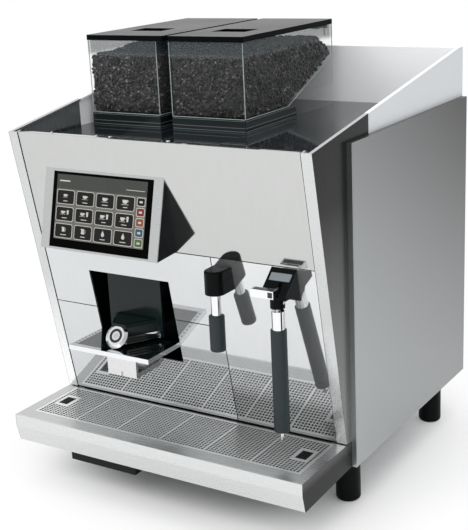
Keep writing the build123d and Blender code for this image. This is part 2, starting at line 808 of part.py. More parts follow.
def make_outlet_carriage():
    """Black coffee outlet: slider on the rail, arm, apron, head and two spouts."""
    slider_y0 = NICHE_REAR_Y - RAIL_D - SLIDE_FIT - OUTLET_SLIDER_D
    slider = block(
        niche_middle - OUTLET_SLIDER_W / 2, niche_middle + OUTLET_SLIDER_W / 2,
        slider_y0, NICHE_REAR_Y - SLIDE_FIT, OUTLET_Z, OUTLET_Z + OUTLET_SLIDER_H,
    )
    slider -= block(
        niche_middle - RAIL_W / 2 - SLIDE_FIT, niche_middle + RAIL_W / 2 + SLIDE_FIT,
        NICHE_REAR_Y - RAIL_D - SLIDE_FIT, NICHE_REAR_Y + OVERRUN,
        OUTLET_Z - OVERRUN, OUTLET_Z + OUTLET_SLIDER_H + OVERRUN,
    )
    head = plan_plate(outlet_outline(BOW_T, 0), OUTLET_Z, OUTLET_Z + OUTLET_HEAD_T)
    head = fillet(head.faces().sort_by(Axis.Z)[-1].edges(), OUTLET_HEAD_ROUND)
    arm = block(
        niche_middle - OUTLET_ARM_W / 2, niche_middle + OUTLET_ARM_W / 2,
        OUTLET_WING_Y - OVERRUN, slider_y0, OUTLET_Z, OUTLET_Z + OUTLET_ARM_T,
    )
    apron = block(
        niche_middle - APRON_HALF, niche_middle + APRON_HALF,
        OUTLET_WING_Y, OUTLET_WING_Y + APRON_T, APRON_LOW_Z, APRON_TOP_Z,
    )
    carriage = slider + head + arm + apron
    for side in (-1, 1):
        spout_x = niche_middle + side * SPOUT_APART / 2
        carriage += upright(spout_x, SPOUT_Y, SPOUT_LOW_Z, OUTLET_Z + SPOUT_R, SPOUT_R)
        carriage -= upright(spout_x, SPOUT_Y, SPOUT_LOW_Z - OVERRUN, OUTLET_Z + SPOUT_R, SPOUT_BORE_R)
    return carriage


def make_outlet_bow():
    """Bright bow round the outlet head with its round bare nose badge."""
    bow = plan_plate(outlet_outline(0, 0), BOW_LOW_Z, BOW_LOW_Z + BOW_H)
    inner = outlet_outline(BOW_T, OVERRUN)
    bow -= plan_plate(inner, BOW_LOW_Z - OVERRUN, BOW_LOW_Z + BOW_H + OVERRUN)
    tilt = math.radians(NOSE_TILT)
    nose_place = Plane(
        origin=(niche_middle, OUTLET_NOSE_Y, NOSE_Z),
        x_dir=(1, 0, 0),
        z_dir=(0, -math.cos(tilt), math.sin(tilt)),
    ).location
    badge = nose_place * Pos(0, 0, NOSE_T / 2) * Cylinder(NOSE_R, NOSE_T)
    ring = Cylinder(NOSE_RING_R, NOSE_RING_T) - Cylinder(NOSE_BUTTON_R, NOSE_RING_T)
    badge -= nose_place * Pos(0, 0, NOSE_T - NOSE_RING_T / 2) * ring
    badge -= plan_plate(inner, OUTLET_Z - CUT_REACH / 10, OUTLET_Z + CUT_REACH / 10)
    return bow + badge


def make_shelf_frame():
    """Bright rim of the cup shelf with the recess for its plate and holes along its sides."""
    x0 = NICHE_LEFT_X + SLIDE_FIT
    x1 = NICHE_RIGHT_X - SLIDE_FIT
    frame = block(x0, x1, SHELF_FRONT_Y, SHELF_REAR_Y, SHELF_Z, shelf_top)
    frame -= block(
        x0 + SHELF_RIM, x1 - SHELF_RIM, SHELF_FRONT_Y + SHELF_RIM, SHELF_REAR_Y - SHELF_RIM,
        shelf_top - SHELF_PLATE_T, shelf_top + OVERRUN,
    )
    frame -= block(
        x0 + 2 * SHELF_RIM, x1 - 2 * SHELF_RIM, SHELF_FRONT_Y + 2 * SHELF_RIM, SHELF_REAR_Y - 2 * SHELF_RIM,
        SHELF_Z - OVERRUN, shelf_top,
    )
    hole_pitch = (SHELF_REAR_Y - SHELF_FRONT_Y - 2 * SHELF_RIM) / SHELF_EDGE_HOLES
    for number in range(SHELF_EDGE_HOLES):
        hole_y = SHELF_FRONT_Y + SHELF_RIM + (number + 1 / 2) * hole_pitch
        for hole_x in (x0 + SHELF_RIM / 2, x1 - SHELF_RIM / 2):
            frame -= upright(hole_x, hole_y, SHELF_Z - OVERRUN, shelf_top + OVERRUN, SHELF_EDGE_HOLE_R)
    return frame


def make_shelf_plate():
    """Black perforated plate that lies in the cup shelf."""
    half_x = (NICHE_RIGHT_X - NICHE_LEFT_X) / 2 - SLIDE_FIT - SHELF_RIM - TOUCH_GAP
    half_y = (SHELF_REAR_Y - SHELF_FRONT_Y) / 2 - SHELF_RIM - TOUCH_GAP
    count_x = int((2 * half_x - SHELF_RIM) / SHELF_PITCH)
    count_y = int((2 * half_y - SHELF_RIM) / SHELF_PITCH)
    face = Rectangle(2 * half_x, 2 * half_y)
    face -= GridLocations(SHELF_PITCH, SHELF_PITCH, count_x, count_y) * Rectangle(SHELF_HOLE, SHELF_HOLE)
    plate = extrude(face, amount=SHELF_PLATE_T)
    return Pos(niche_middle, (SHELF_FRONT_Y + SHELF_REAR_Y) / 2, shelf_top - SHELF_PLATE_T) * plate


def make_display_housing(place):
    """Wedge that carries the display, its top edge flush with the upper panel."""
    middle_x = (HOUSING_LEFT_X + HOUSING_RIGHT_X) / 2
    outer = [
        (front_y(HOUSING_TOP_Z, PANEL_SINK), HOUSING_TOP_Z),
        (HOUSING_LOW_Y, HOUSING_LOW_Z),
        (front_y(HOUSING_REAR_LOW_Z, PANEL_SINK), HOUSING_REAR_LOW_Z),
    ]
    housing = side_plate(outer, HOUSING_LEFT_X, HOUSING_RIGHT_X)
    hollow = side_plate(outer, HOUSING_LEFT_X + HOUSING_WALL, HOUSING_RIGHT_X - HOUSING_WALL)
    hollow -= display_slab(place, -CUT_REACH, CUT_REACH, -CUT_REACH, CUT_REACH, -CUT_REACH, HOUSING_FACE_T)
    hollow -= block(
        middle_x - CUT_REACH, middle_x + CUT_REACH, -CUT_REACH, CUT_REACH,
        -CUT_REACH, HOUSING_REAR_LOW_Z + HOUSING_WALL,
    )
    housing -= hollow
    housing -= display_slab(
        place, GLASS_LEFT_X - TOUCH_GAP, GLASS_RIGHT_X + TOUCH_GAP,
        GLASS_LOW - TOUCH_GAP, GLASS_TOP + TOUCH_GAP, -OVERRUN, GLASS_T,
    )
    return housing


def display_frame():
    """Place on the display's face, at its lower edge on the middle plane, facing out."""
    back = front_y(HOUSING_TOP_Z, PANEL_SINK) - HOUSING_LOW_Y
    return Plane(
        origin=(0, HOUSING_LOW_Y, HOUSING_LOW_Z),
        x_dir=(1, 0, 0),
        z_dir=(0, HOUSING_LOW_Z - HOUSING_TOP_Z, back),
    ).location


def display_slab(place, x0, x1, v0, v1, near, far):
    """A slab behind the display's face, from depth near to depth far."""
    return place * Pos((x0 + x1) / 2, (v0 + v1) / 2, -(near + far) / 2) * Box(x1 - x0, v1 - v0, far - near)


def make_display_glass(place):
    """Touch screen glass with its black border, flush in the housing."""
    return display_slab(place, GLASS_LEFT_X, GLASS_RIGHT_X, GLASS_LOW, GLASS_TOP, 0, GLASS_T)


def tray_side():
    """Side outline of the drip tray's shell."""
    return [
        (TRAY_FRONT_Y, TRAY_TOP_Z),
        (TRAY_FRONT_Y, TRAY_BEND_Z),
        (TRAY_FRONT_Y + TRAY_LEAN, TRAY_LOW_Z),
        (TRAY_REAR_Y, TRAY_REAR_LOW_Z),
        (TRAY_REAR_Y, TRAY_TOP_Z),
    ]


def make_drip_tray():
    """Bright tray shell with a flat rim round the grid, open below for the pan."""
    shell = side_plate(tray_side(), -TRAY_HALF, TRAY_HALF)
    shell -= block(
        -TRAY_HALF + TRAY_SHEET, TRAY_HALF - TRAY_SHEET, TRAY_FRONT_Y + TRAY_SHEET + TRAY_LEAN,
        TRAY_REAR_Y - TRAY_SHEET, TRAY_LOW_Z - OVERRUN, TRAY_TOP_Z - TRAY_SHEET,
    )
    shell -= block(
        -GRID_HALF - TOUCH_GAP, GRID_HALF + TOUCH_GAP, GRID_FRONT_Y - TOUCH_GAP, GRID_REAR_Y + TOUCH_GAP,
        TRAY_TOP_Z - TRAY_SHEET - OVERRUN, TRAY_TOP_Z + OVERRUN,
    )
    return shell


def make_drip_pan():
    """Black pan with a sump, a flange under the rim and two small overflow grilles."""
    flange_top = TRAY_TOP_Z - GRID_T
    pan = block(-PAN_HALF, PAN_HALF, PAN_FRONT_Y, PAN_REAR_Y, BASE_Z, flange_top)
    pan += block(SUMP_LEFT_X, SUMP_RIGHT_X, SUMP_FRONT_Y, SUMP_REAR_Y, SUMP_Z, BASE_Z + PAN_WALL)
    pan -= block(
        -PAN_HALF + PAN_WALL, PAN_HALF - PAN_WALL, PAN_FRONT_Y + PAN_WALL, PAN_REAR_Y - PAN_WALL,
        BASE_Z + PAN_WALL, flange_top - PAN_WALL,
    )
    pan -= block(
        SUMP_LEFT_X + PAN_WALL, SUMP_RIGHT_X - PAN_WALL, SUMP_FRONT_Y + PAN_WALL, SUMP_REAR_Y - PAN_WALL,
        SUMP_Z + PAN_WALL, BASE_Z + 2 * PAN_WALL,
    )
    pan -= block(
        -PAN_MOUTH_HALF, PAN_MOUTH_HALF, PAN_MOUTH_FRONT_Y, PAN_MOUTH_REAR_Y,
        flange_top - PAN_WALL - OVERRUN, flange_top + OVERRUN,
    )
    for side in (-1, 1):
        post = block(
            side * INSERT_X - INSERT_W / 2, side * INSERT_X + INSERT_W / 2,
            INSERT_Y - INSERT_D / 2, INSERT_Y + INSERT_D / 2, BASE_Z + PAN_WALL / 2, TRAY_TOP_Z,
        )
        slot_pitch = INSERT_D / (INSERT_SLOTS + 1)
        for number in range(INSERT_SLOTS):
            slot_y = INSERT_Y - INSERT_D / 2 + (number + 1) * slot_pitch
            post -= block(
                side * INSERT_X - INSERT_W / 2 + PAN_WALL, side * INSERT_X + INSERT_W / 2 - PAN_WALL,
                slot_y - INSERT_SLOT / 2, slot_y + INSERT_SLOT / 2,
                flange_top - GRID_T, TRAY_TOP_Z + OVERRUN,
            )
        pan += post
    return pan


def make_drip_grid():
    """Perforated grid in six fields, with windows for the two overflow grilles."""
    width = 2 * GRID_HALF
    depth = GRID_REAR_Y - GRID_FRONT_Y
    field_w = (width - GRID_BAR) / GRID_FIELDS
    count_x = int((field_w - GRID_BAR) / GRID_PITCH)
    count_y = int((depth - 2 * GRID_BAR) / GRID_PITCH)
    holes = []
    window_x = (INSERT_W / 2 + GRID_BAR / 2)
    window_y = (INSERT_D / 2 + GRID_BAR / 2)
    middle_y = (GRID_FRONT_Y + GRID_REAR_Y) / 2
    for field in range(GRID_FIELDS):
        field_x = -GRID_HALF + GRID_BAR / 2 + (field + 1 / 2) * field_w
        for spot in GridLocations(GRID_PITCH, GRID_PITCH, count_x, count_y):
            hole_x = field_x + spot.position.X
            hole_y = middle_y + spot.position.Y
            near_x = abs(abs(hole_x) - INSERT_X) < window_x + GRID_HOLE / 2
            near_y = abs(hole_y - INSERT_Y) < window_y + GRID_HOLE / 2
            if not (near_x and near_y):
                holes.append(Pos(hole_x, hole_y) * Rectangle(GRID_HOLE, GRID_HOLE))
    for side in (-1, 1):
        window = Rectangle(INSERT_W + 2 * TOUCH_GAP, INSERT_D + 2 * TOUCH_GAP)
        holes.append(Pos(side * INSERT_X, INSERT_Y) * window)
    face = Pos(0, middle_y) * Rectangle(width, depth) - holes
    return Pos(0, 0, TRAY_TOP_Z - GRID_T) * extrude(face, amount=GRID_T)


def make_water_block():
    """Black rounded block of the hot water tap."""
    tap = upright(WATER_X, TAP_Y, WATER_BLOCK_LOW_Z, WATER_BLOCK_TOP_Z, WATER_BLOCK_R)
    tap += block(
        WATER_X - WATER_BLOCK_R, WATER_X + WATER_BLOCK_R, TAP_Y, BASE_FRONT_Y,
        WATER_BLOCK_LOW_Z, WATER_BLOCK_TOP_Z,
    )
    tap = fillet(tap.faces().sort_by(Axis.Z)[-1].edges(), WATER_BLOCK_ROUND)
    tap -= behind(PANEL_SINK)
    tap -= upright(WATER_X, TAP_Y, WATER_BLOCK_LOW_Z - OVERRUN, WATER_TUBE_TOP_Z, WATER_TUBE_R + RUN_FIT)
    return tap


def make_water_tube():
    """Bright tube between the block and the nozzle."""
    low_z = NOZZLE_TOP_Z - NOZZLE_GRIP_H
    tube = upright(WATER_X, TAP_Y, low_z, WATER_TUBE_TOP_Z, WATER_TUBE_R)
    return tube - upright(WATER_X, TAP_Y, low_z - OVERRUN, WATER_TUBE_TOP_Z - SHEET, WATER_BORE_R)


def make_water_nozzle():
    """Black nozzle pushed over the hot water tube."""
    nozzle = upright(WATER_X, TAP_Y, NOZZLE_LOW_Z, NOZZLE_TOP_Z, NOZZLE_R)
    nozzle = fillet(nozzle.edges().filter_by(GeomType.CIRCLE), NOZZLE_ROUND)
    nozzle -= upright(
        WATER_X, TAP_Y, NOZZLE_TOP_Z - NOZZLE_GRIP_H, NOZZLE_TOP_Z + OVERRUN, WATER_TUBE_R + RUN_FIT,
    )
    return nozzle - upright(WATER_X, TAP_Y, NOZZLE_LOW_Z - OVERRUN, NOZZLE_TOP_Z, WATER_BORE_R)


def inset_place():
    """Place on the sloping brow of the steam block, facing out."""
    top_y = front_y(STEAM_TOP_Z, PANEL_SINK)
    middle_x = (STEAM_LEFT_X + STEAM_RIGHT_X) / 2
    return Plane(
        origin=(middle_x, (top_y + STEAM_BROW_Y) / 2, (STEAM_TOP_Z + STEAM_BROW_Z) / 2),
        x_dir=(1, 0, 0),
        z_dir=(0, STEAM_BROW_Z - STEAM_TOP_Z, top_y - STEAM_BROW_Y),
    ).location


def make_steam_block():
    """Black wedge of the steam tap with the seats of its inset, lever and collar."""
    outline = [
        (front_y(STEAM_TOP_Z, PANEL_SINK), STEAM_TOP_Z),
        (STEAM_BROW_Y, STEAM_BROW_Z),
        (STEAM_NOSE_Y, STEAM_NOSE_TOP_Z),
        (STEAM_NOSE_Y, STEAM_NOSE_Z),
        (STEAM_CHIN_Y, STEAM_NOSE_Z),
        (front_y(STEAM_LOW_Z, PANEL_SINK), STEAM_LOW_Z),
    ]
    tap = side_plate(outline, STEAM_LEFT_X, STEAM_RIGHT_X)
    seat = Box(INSET_W + 2 * TOUCH_GAP, INSET_H + 2 * TOUCH_GAP, 2 * INSET_T)
    tap -= inset_place() * seat
    slot_x0 = LEVER_RIGHT_X - LEVER_ARM_W - LEVER_SLOT_GAP
    slot_x1 = LEVER_RIGHT_X + LEVER_SLOT_GAP
    eye_room = LEVER_EYE_R + LEVER_SLOT_GAP
    slot = [
        (LEVER_PIVOT_Y, LEVER_PIVOT_Z - eye_room),
        (STEAM_NOSE_Y - OVERRUN, LEVER_PIVOT_Z - eye_room - LEVER_SLOT_DROP),
        (STEAM_NOSE_Y - OVERRUN, STEAM_TOP_Z + OVERRUN),
        (LEVER_PIVOT_Y, STEAM_TOP_Z + OVERRUN),
    ]
    tap -= side_plate(slot, slot_x0, slot_x1)
    tap -= lying(slot_x0, slot_x1, LEVER_PIVOT_Y, LEVER_PIVOT_Z, eye_room)
    tap -= lying(
        slot_x0 - LEVER_ARM_W, slot_x1 + LEVER_ARM_W, LEVER_PIVOT_Y, LEVER_PIVOT_Z, LEVER_PIN_R + RUN_FIT,
    )
    pin_hole_top = STEAM_NOSE_Z + COLLAR_PIN_H / 2
    return tap - upright(STEAM_X, TAP_Y, STEAM_NOSE_Z - OVERRUN, pin_hole_top, COLLAR_PIN_R + RUN_FIT)


def make_steam_inset():
    """Pale inset plate on the steam block's brow."""
    return inset_place() * Pos(0, 0, -INSET_T / 2) * Box(INSET_W, INSET_H, INSET_T)


def make_steam_lever():
    """Bright lever plate with its arm and pivot pin."""
    top_z = LEVER_LOW_Z + LEVER_H
    front = block(
        LEVER_LEFT_X, LEVER_RIGHT_X, LEVER_FRONT_Y, LEVER_FRONT_Y + LEVER_T, LEVER_LOW_Z, top_z,
    )
    top = block(
        LEVER_LEFT_X, LEVER_RIGHT_X, LEVER_FRONT_Y, STEAM_NOSE_Y - LEVER_SLOT_GAP, top_z - LEVER_T, top_z,
    )
    arm_x0 = LEVER_RIGHT_X - LEVER_ARM_W
    arm = block(
        arm_x0, LEVER_RIGHT_X, LEVER_FRONT_Y, LEVER_PIVOT_Y,
        LEVER_PIVOT_Z - LEVER_EYE_R, LEVER_PIVOT_Z + LEVER_EYE_R,
    )
    eye = lying(arm_x0, LEVER_RIGHT_X, LEVER_PIVOT_Y, LEVER_PIVOT_Z, LEVER_EYE_R)
    pin_x1 = LEVER_RIGHT_X + LEVER_ARM_W
    pin = lying(arm_x0 - LEVER_ARM_W, pin_x1, LEVER_PIVOT_Y, LEVER_PIVOT_Z, LEVER_PIN_R)
    return front + top + arm + eye + pin


def make_steam_collar():
    """Black collar that turns in the block and holds the wand's ball."""
    top_z = STEAM_NOSE_Z - TOUCH_GAP
    ball_z = top_z - BALL_DROP
    collar = upright(STEAM_X, TAP_Y, top_z - COLLAR_H, top_z, COLLAR_R)
    pin_top = STEAM_NOSE_Z + COLLAR_PIN_H / 2 - TOUCH_GAP
    collar += upright(STEAM_X, TAP_Y, top_z - OVERRUN, pin_top, COLLAR_PIN_R)
    collar -= Pos(STEAM_X, TAP_Y, ball_z) * Sphere(BALL_R + RUN_FIT)
    mouth_h = COLLAR_H - BALL_DROP
    mouth = Cone(BALL_MOUTH_R, NECK_R, mouth_h + OVERRUN)
    collar -= Pos(STEAM_X, TAP_Y, ball_z - (mouth_h + OVERRUN) / 2) * mouth
    return collar - lying(
        STEAM_X - COLLAR_R - OVERRUN, STEAM_X + COLLAR_R + OVERRUN, TAP_Y, ball_z,
        WAND_PIN_R + RUN_FIT,
    )


def make_steam_tube():
    """Bright steam tube with its ball and tilt pin on top and its thin tip below."""
    ball_z = STEAM_NOSE_Z - TOUCH_GAP - BALL_DROP
    tube = Pos(STEAM_X, TAP_Y, ball_z) * Sphere(BALL_R)
    tube += lying(
        STEAM_X - COLLAR_R + TOUCH_GAP, STEAM_X + COLLAR_R - TOUCH_GAP, TAP_Y, ball_z, WAND_PIN_R,
    )
    tube += upright(STEAM_X, TAP_Y, STEAM_TUBE_TOP_Z - OVERRUN, ball_z, NECK_R)
    tube += upright(STEAM_X, TAP_Y, SLEEVE_LOW_Z, STEAM_TUBE_TOP_Z, STEAM_TUBE_R)
    tube += upright(STEAM_X, TAP_Y, TIP_LOW_Z, SLEEVE_LOW_Z + OVERRUN, TIP_R)
    return tube


def make_steam_sleeve():
    """Black rubber sleeve over the lower part of the steam tube."""
    sleeve = upright(STEAM_X, TAP_Y, SLEEVE_LOW_Z, SLEEVE_TOP_Z, SLEEVE_R)
    return sleeve - upright(
        STEAM_X, TAP_Y, SLEEVE_LOW_Z - OVERRUN, SLEEVE_TOP_Z + OVERRUN, STEAM_TUBE_R + RUN_FIT,
    )


def make_hopper_body(x):
    """Clear container with a sloping rear floor, two skirts and the hinge lugs."""
    half = HOPPER_W / 2
    outer = [
        (HOPPER_FRONT_Y, HOPPER_FLOOR_Z),
        (HOPPER_FRONT_Y, HOPPER_TOP_Z),
        (HOPPER_REAR_Y, HOPPER_TOP_Z),
        (HOPPER_REAR_Y, HOPPER_BEND_Z),
        (HOPPER_BEND_Y, HOPPER_FLOOR_Z),
    ]
    inner = [
        (HOPPER_FRONT_Y + HOPPER_WALL, HOPPER_FLOOR_Z + HOPPER_WALL),
        (HOPPER_FRONT_Y + HOPPER_WALL, HOPPER_TOP_Z + OVERRUN),
        (HOPPER_REAR_Y - HOPPER_WALL, HOPPER_TOP_Z + OVERRUN),
        (HOPPER_REAR_Y - HOPPER_WALL, HOPPER_BEND_Z + HOPPER_WALL),
        (HOPPER_BEND_Y, HOPPER_FLOOR_Z + HOPPER_WALL),
    ]
    body = side_plate(outer, x - half, x + half)
    body -= side_plate(inner, x - half + HOPPER_WALL, x + half - HOPPER_WALL)
    slope = (HOPPER_BEND_Z - HOPPER_FLOOR_Z) / (HOPPER_REAR_Y - HOPPER_BEND_Y)
    skirt_y = PLINTH_REAR_Y + TOUCH_GAP
    skirt = [
        (skirt_y, HOPPER_FLOOR_Z + slope * (skirt_y - HOPPER_BEND_Y)),
        (HOPPER_REAR_Y, HOPPER_BEND_Z),
        (HOPPER_REAR_Y, DECK_Z),
        (skirt_y, DECK_Z),
    ]
    body += side_plate(skirt, x - half, x - half + HOPPER_WALL)
    body += side_plate(skirt, x + half - HOPPER_WALL, x + half)
    for side in (-1, 1):
        lug_x = x + side * LUG_X
        lug = block(
            lug_x - LUG_W / 2, lug_x + LUG_W / 2, HOPPER_REAR_Y - HOPPER_WALL / 2, HINGE_Y,
            HINGE_Z - LUG_DROP, HINGE_Z + LUG_R,
        )
        lug += lying(lug_x - LUG_W / 2, lug_x + LUG_W / 2, HINGE_Y, HINGE_Z, LUG_R)
        lug -= lying(
            lug_x - LUG_W / 2 - OVERRUN, lug_x + LUG_W / 2 + OVERRUN,
            HINGE_Y, HINGE_Z, HINGE_PIN_R + RUN_FIT,
        )
        body += lug
    floor_top = HOPPER_FLOOR_Z + HOPPER_WALL
    return body - upright(x, THROAT_Y, HOPPER_FLOOR_Z - OVERRUN, floor_top + OVERRUN, THROAT_BORE_R)


def make_hopper_plinth(x):
    """Dark plinth under the container with the gate's slot and the throat."""
    half = HOPPER_W / 2
    plinth = block(x - half, x + half, HOPPER_FRONT_Y, PLINTH_REAR_Y, DECK_Z, HOPPER_FLOOR_Z)
    plinth += upright(x, THROAT_Y, THROAT_LOW_Z, DECK_Z + OVERRUN, THROAT_R)
    plinth -= upright(x, THROAT_Y, THROAT_LOW_Z - OVERRUN, HOPPER_FLOOR_Z + OVERRUN, THROAT_BORE_R)
    plinth -= block(
        x - GATE_W / 2 - GATE_FIT, x + GATE_W / 2 + GATE_FIT, HOPPER_FRONT_Y - OVERRUN,
        GATE_REAR_Y + SLIDE_FIT, GATE_Z - GATE_FIT, GATE_Z + GATE_T + GATE_FIT,
    )
    return plinth


def make_hopper_gate(x):
    """Sliding plate that shuts the throat when it is drawn out."""
    gate = block(x - GATE_W / 2, x + GATE_W / 2, HOPPER_FRONT_Y, GATE_REAR_Y, GATE_Z, GATE_Z + GATE_T)
    gate -= upright(x, THROAT_Y, GATE_Z - OVERRUN, GATE_Z + GATE_T + OVERRUN, THROAT_BORE_R)
    gate -= block(
        x - GATE_GRIP_W / 2, x + GATE_GRIP_W / 2, HOPPER_FRONT_Y + GATE_GRIP_T,
        HOPPER_FRONT_Y + GATE_GRIP_D, GATE_Z - OVERRUN, GATE_Z + GATE_GRIP_T,
    )
    return gate


def make_hopper_beans(x):
    """The mass of beans that fills the container, heaped towards the back."""
    low_z = HOPPER_FLOOR_Z + HOPPER_WALL + BEAN_GAP
    front = HOPPER_FRONT_Y + HOPPER_WALL + BEAN_GAP
    rear = HOPPER_REAR_Y - HOPPER_WALL - BEAN_GAP
    outline = [
        (front, low_z),
        (front, BEAN_FRONT_Z),
        (BEAN_CROWN_FRONT_Y, BEAN_CROWN_Z),
        (BEAN_CROWN_REAR_Y, BEAN_CROWN_Z),
        (rear, BEAN_REAR_Z),
        (rear, HOPPER_BEND_Z + HOPPER_WALL + 2 * BEAN_GAP),
        (HOPPER_BEND_Y, low_z),
    ]
    half = HOPPER_W / 2 - HOPPER_WALL - BEAN_GAP
    return side_plate(outline, x - half, x + half)


def make_hopper_lid(x, x0, x1):
    """Lid with a finger pocket, a lock hole and the rear hinge pin."""
    low_z = HOPPER_TOP_Z + LID_GAP
    lid = block(x0, x1, LID_FRONT_Y, LID_REAR_Y, low_z, low_z + LID_T)
    lid = fillet(lid.edges().filter_by(Axis.Z), LID_ROUND)
    pocket_floor = low_z + LID_T - POCKET_H
    lid -= block(
        x - POCKET_W / 2, x + POCKET_W / 2, POCKET_Y - POCKET_D / 2, POCKET_Y + POCKET_D / 2,
        pocket_floor, low_z + LID_T + OVERRUN,
    )
    lid -= upright(
        x - LOCK_SIDE, POCKET_Y + LOCK_BACK, low_z - OVERRUN, pocket_floor + OVERRUN, LOCK_STEM_R + RUN_FIT,
    )
    for side in (-1, 1):
        arm_x = x + side * HINGE_ARM_X
        lid += block(
            arm_x - HINGE_ARM_W / 2, arm_x + HINGE_ARM_W / 2, LID_REAR_Y - HINGE_ARM_W, HINGE_Y,
            low_z, low_z + LID_T / 2,
        )
        lid += block(
            arm_x - HINGE_ARM_W / 2, arm_x + HINGE_ARM_W / 2, HINGE_Y - HINGE_ARM_R, HINGE_Y + HINGE_ARM_R,
            HINGE_Z, low_z + LID_T / 2,
        )
        lid += lying(arm_x - HINGE_ARM_W / 2, arm_x + HINGE_ARM_W / 2, HINGE_Y, HINGE_Z, HINGE_ARM_R)
    return lid + lying(x - HINGE_PIN_HALF, x + HINGE_PIN_HALF, HINGE_Y, HINGE_Z, HINGE_PIN_R)


def make_hopper_lock(hopper_x):
    """Turning lock in the lid's pocket: slotted head, stem and cam."""
    x = hopper_x - LOCK_SIDE
    y = POCKET_Y + LOCK_BACK
    low_z = HOPPER_TOP_Z + LID_GAP
    floor_z = low_z + LID_T - POCKET_H
    lock = upright(x, y, floor_z, floor_z + LOCK_HEAD_H, LOCK_R)
    lock += upright(x, y, low_z - LOCK_CAM_T, floor_z + LOCK_HEAD_H / 2, LOCK_STEM_R)
    lock += block(
        x - LOCK_CAM_W / 2, x + LOCK_CAM_W / 2, y - LOCK_CAM_L, y + LOCK_STEM_R,
        low_z - LOCK_CAM_T, low_z,
    )
    lock -= block(
        x - LOCK_SLOT_W / 2, x + LOCK_SLOT_W / 2, y - LOCK_R, y + LOCK_R,
        floor_z + LOCK_HEAD_H - LOCK_SLOT_DEEP, floor_z + LOCK_HEAD_H + OVERRUN,
    )
    return lock


def make_foot(x, y):
    """Round rubber foot with its threaded stud."""
    foot = upright(x, y, 0, BASE_Z, FOOT_R)
    foot = fillet(foot.edges().sort_by(Axis.Z)[0], FOOT_ROUND)
    return foot + upright(x, y, BASE_Z - OVERRUN, BASE_Z + STUD_H, STUD_R)


def make_grinder(x):
    """Grinder: neck under the deck, mill case with its cavity, motor and coffee chute."""
    deck_under = DECK_Z - DECK_T
    case_top = THROAT_LOW_Z - TOUCH_GAP
    grinder = upright(x, THROAT_Y, MILL_LOW_Z, case_top, MILL_R)
    grinder += upright(x, THROAT_Y, case_top - OVERRUN, deck_under, MILL_NECK_R)
    grinder += upright(x, THROAT_Y, MOTOR_LOW_Z, MILL_LOW_Z + OVERRUN, MOTOR_R)
    chute_start = (x, THROAT_Y - MILL_CAVITY_R + CHUTE_R, CHUTE_Z)
    side = math.copysign(CHUTE_END_SIDE, x - BREW_X)
    chute_end = (BREW_X + side, CHUTE_END_Y, CHUTE_END_Z)
    grinder += rod(chute_start, chute_end, CHUTE_R)
    grinder -= upright(x, THROAT_Y, MILL_LOW_Z + MILL_FLOOR_T, case_top - SHEET, MILL_CAVITY_R)
    grinder -= upright(x, THROAT_Y, case_top - 2 * SHEET, deck_under + OVERRUN, THROAT_R + TOUCH_GAP)
    grinder -= rod(chute_start, chute_end, CHUTE_BORE_R)
    mill_floor = MILL_LOW_Z + MILL_FLOOR_T
    return grinder - upright(x, THROAT_Y, SHAFT_LOW_Z - TOUCH_GAP, mill_floor + OVERRUN, SHAFT_R + RUN_FIT)


def make_grinder_rotor(x):
    """Turning burr with its feed cone and shaft."""
    rotor = upright(x, THROAT_Y, SHAFT_LOW_Z, BURR_Z + BURR_T, SHAFT_R)
    burr = upright(x, THROAT_Y, BURR_Z, BURR_Z + BURR_T, BURR_R)
    for number in range(BURR_SLOTS):
        angle = 360 * number / BURR_SLOTS
        cut = Pos(BURR_R / 2 + BURR_CONE_R / 2, 0, BURR_Z + BURR_T - BURR_SLOT_DEEP / 2) * Box(
            BURR_R - BURR_CONE_R + OVERRUN, BURR_SLOT_W, BURR_SLOT_DEEP,
        )
        burr -= Pos(x, THROAT_Y, 0) * Rot(0, 0, angle) * cut
    cone = Cone(BURR_CONE_R, BURR_CONE_TOP_R, BURR_CONE_H)
    return rotor + burr + Pos(x, THROAT_Y, BURR_Z + BURR_T + BURR_CONE_H / 2) * cone


def make_brew_frame():
    """Brew unit's frame: three plates, two cheeks and the chamber."""
    x0 = BREW_X - BREW_HALF
    x1 = BREW_X + BREW_HALF
    front = NICHE_REAR_Y + NICHE_WALL
    frame = block(x0, x1, front, BREW_REAR_Y, BREW_LOW_Z, BREW_LOW_Z + BREW_PLATE_T)
    frame += block(x0, x1, front, BREW_REAR_Y, BREW_TOP_Z - BREW_PLATE_T, BREW_TOP_Z)
    frame += block(x0, x1, front, BREW_REAR_Y, CHAMBER_LOW_Z, CHAMBER_LOW_Z + BREW_PLATE_T)
    frame += block(x0, x0 + BREW_PLATE_T, front, BREW_REAR_Y, BREW_LOW_Z, BREW_TOP_Z)
    frame += block(x1 - BREW_PLATE_T, x1, front, BREW_REAR_Y, BREW_LOW_Z, BREW_TOP_Z)
    frame += upright(BREW_X, BREW_Y, CHAMBER_LOW_Z, CHAMBER_TOP_Z, CHAMBER_R)
    frame -= upright(BREW_X, BREW_Y, CHAMBER_LOW_Z - OVERRUN, CHAMBER_TOP_Z + OVERRUN, CHAMBER_BORE_R)
    frame -= upright(
        BREW_X, BREW_Y, BREW_LOW_Z - OVERRUN, BREW_LOW_Z + BREW_PLATE_T + OVERRUN, BREW_HOLE_R,
    )
    frame -= upright(
        BREW_X, BREW_Y, BREW_TOP_Z - BREW_PLATE_T - OVERRUN, BREW_TOP_Z + OVERRUN, PISTON_ROD_R + RUN_FIT,
    )
    frame -= upright(
        SCREW_X, SCREW_Y, CHAMBER_LOW_Z - OVERRUN, BREW_TOP_Z + OVERRUN, SCREW_R + RUN_FIT,
    )
    return frame


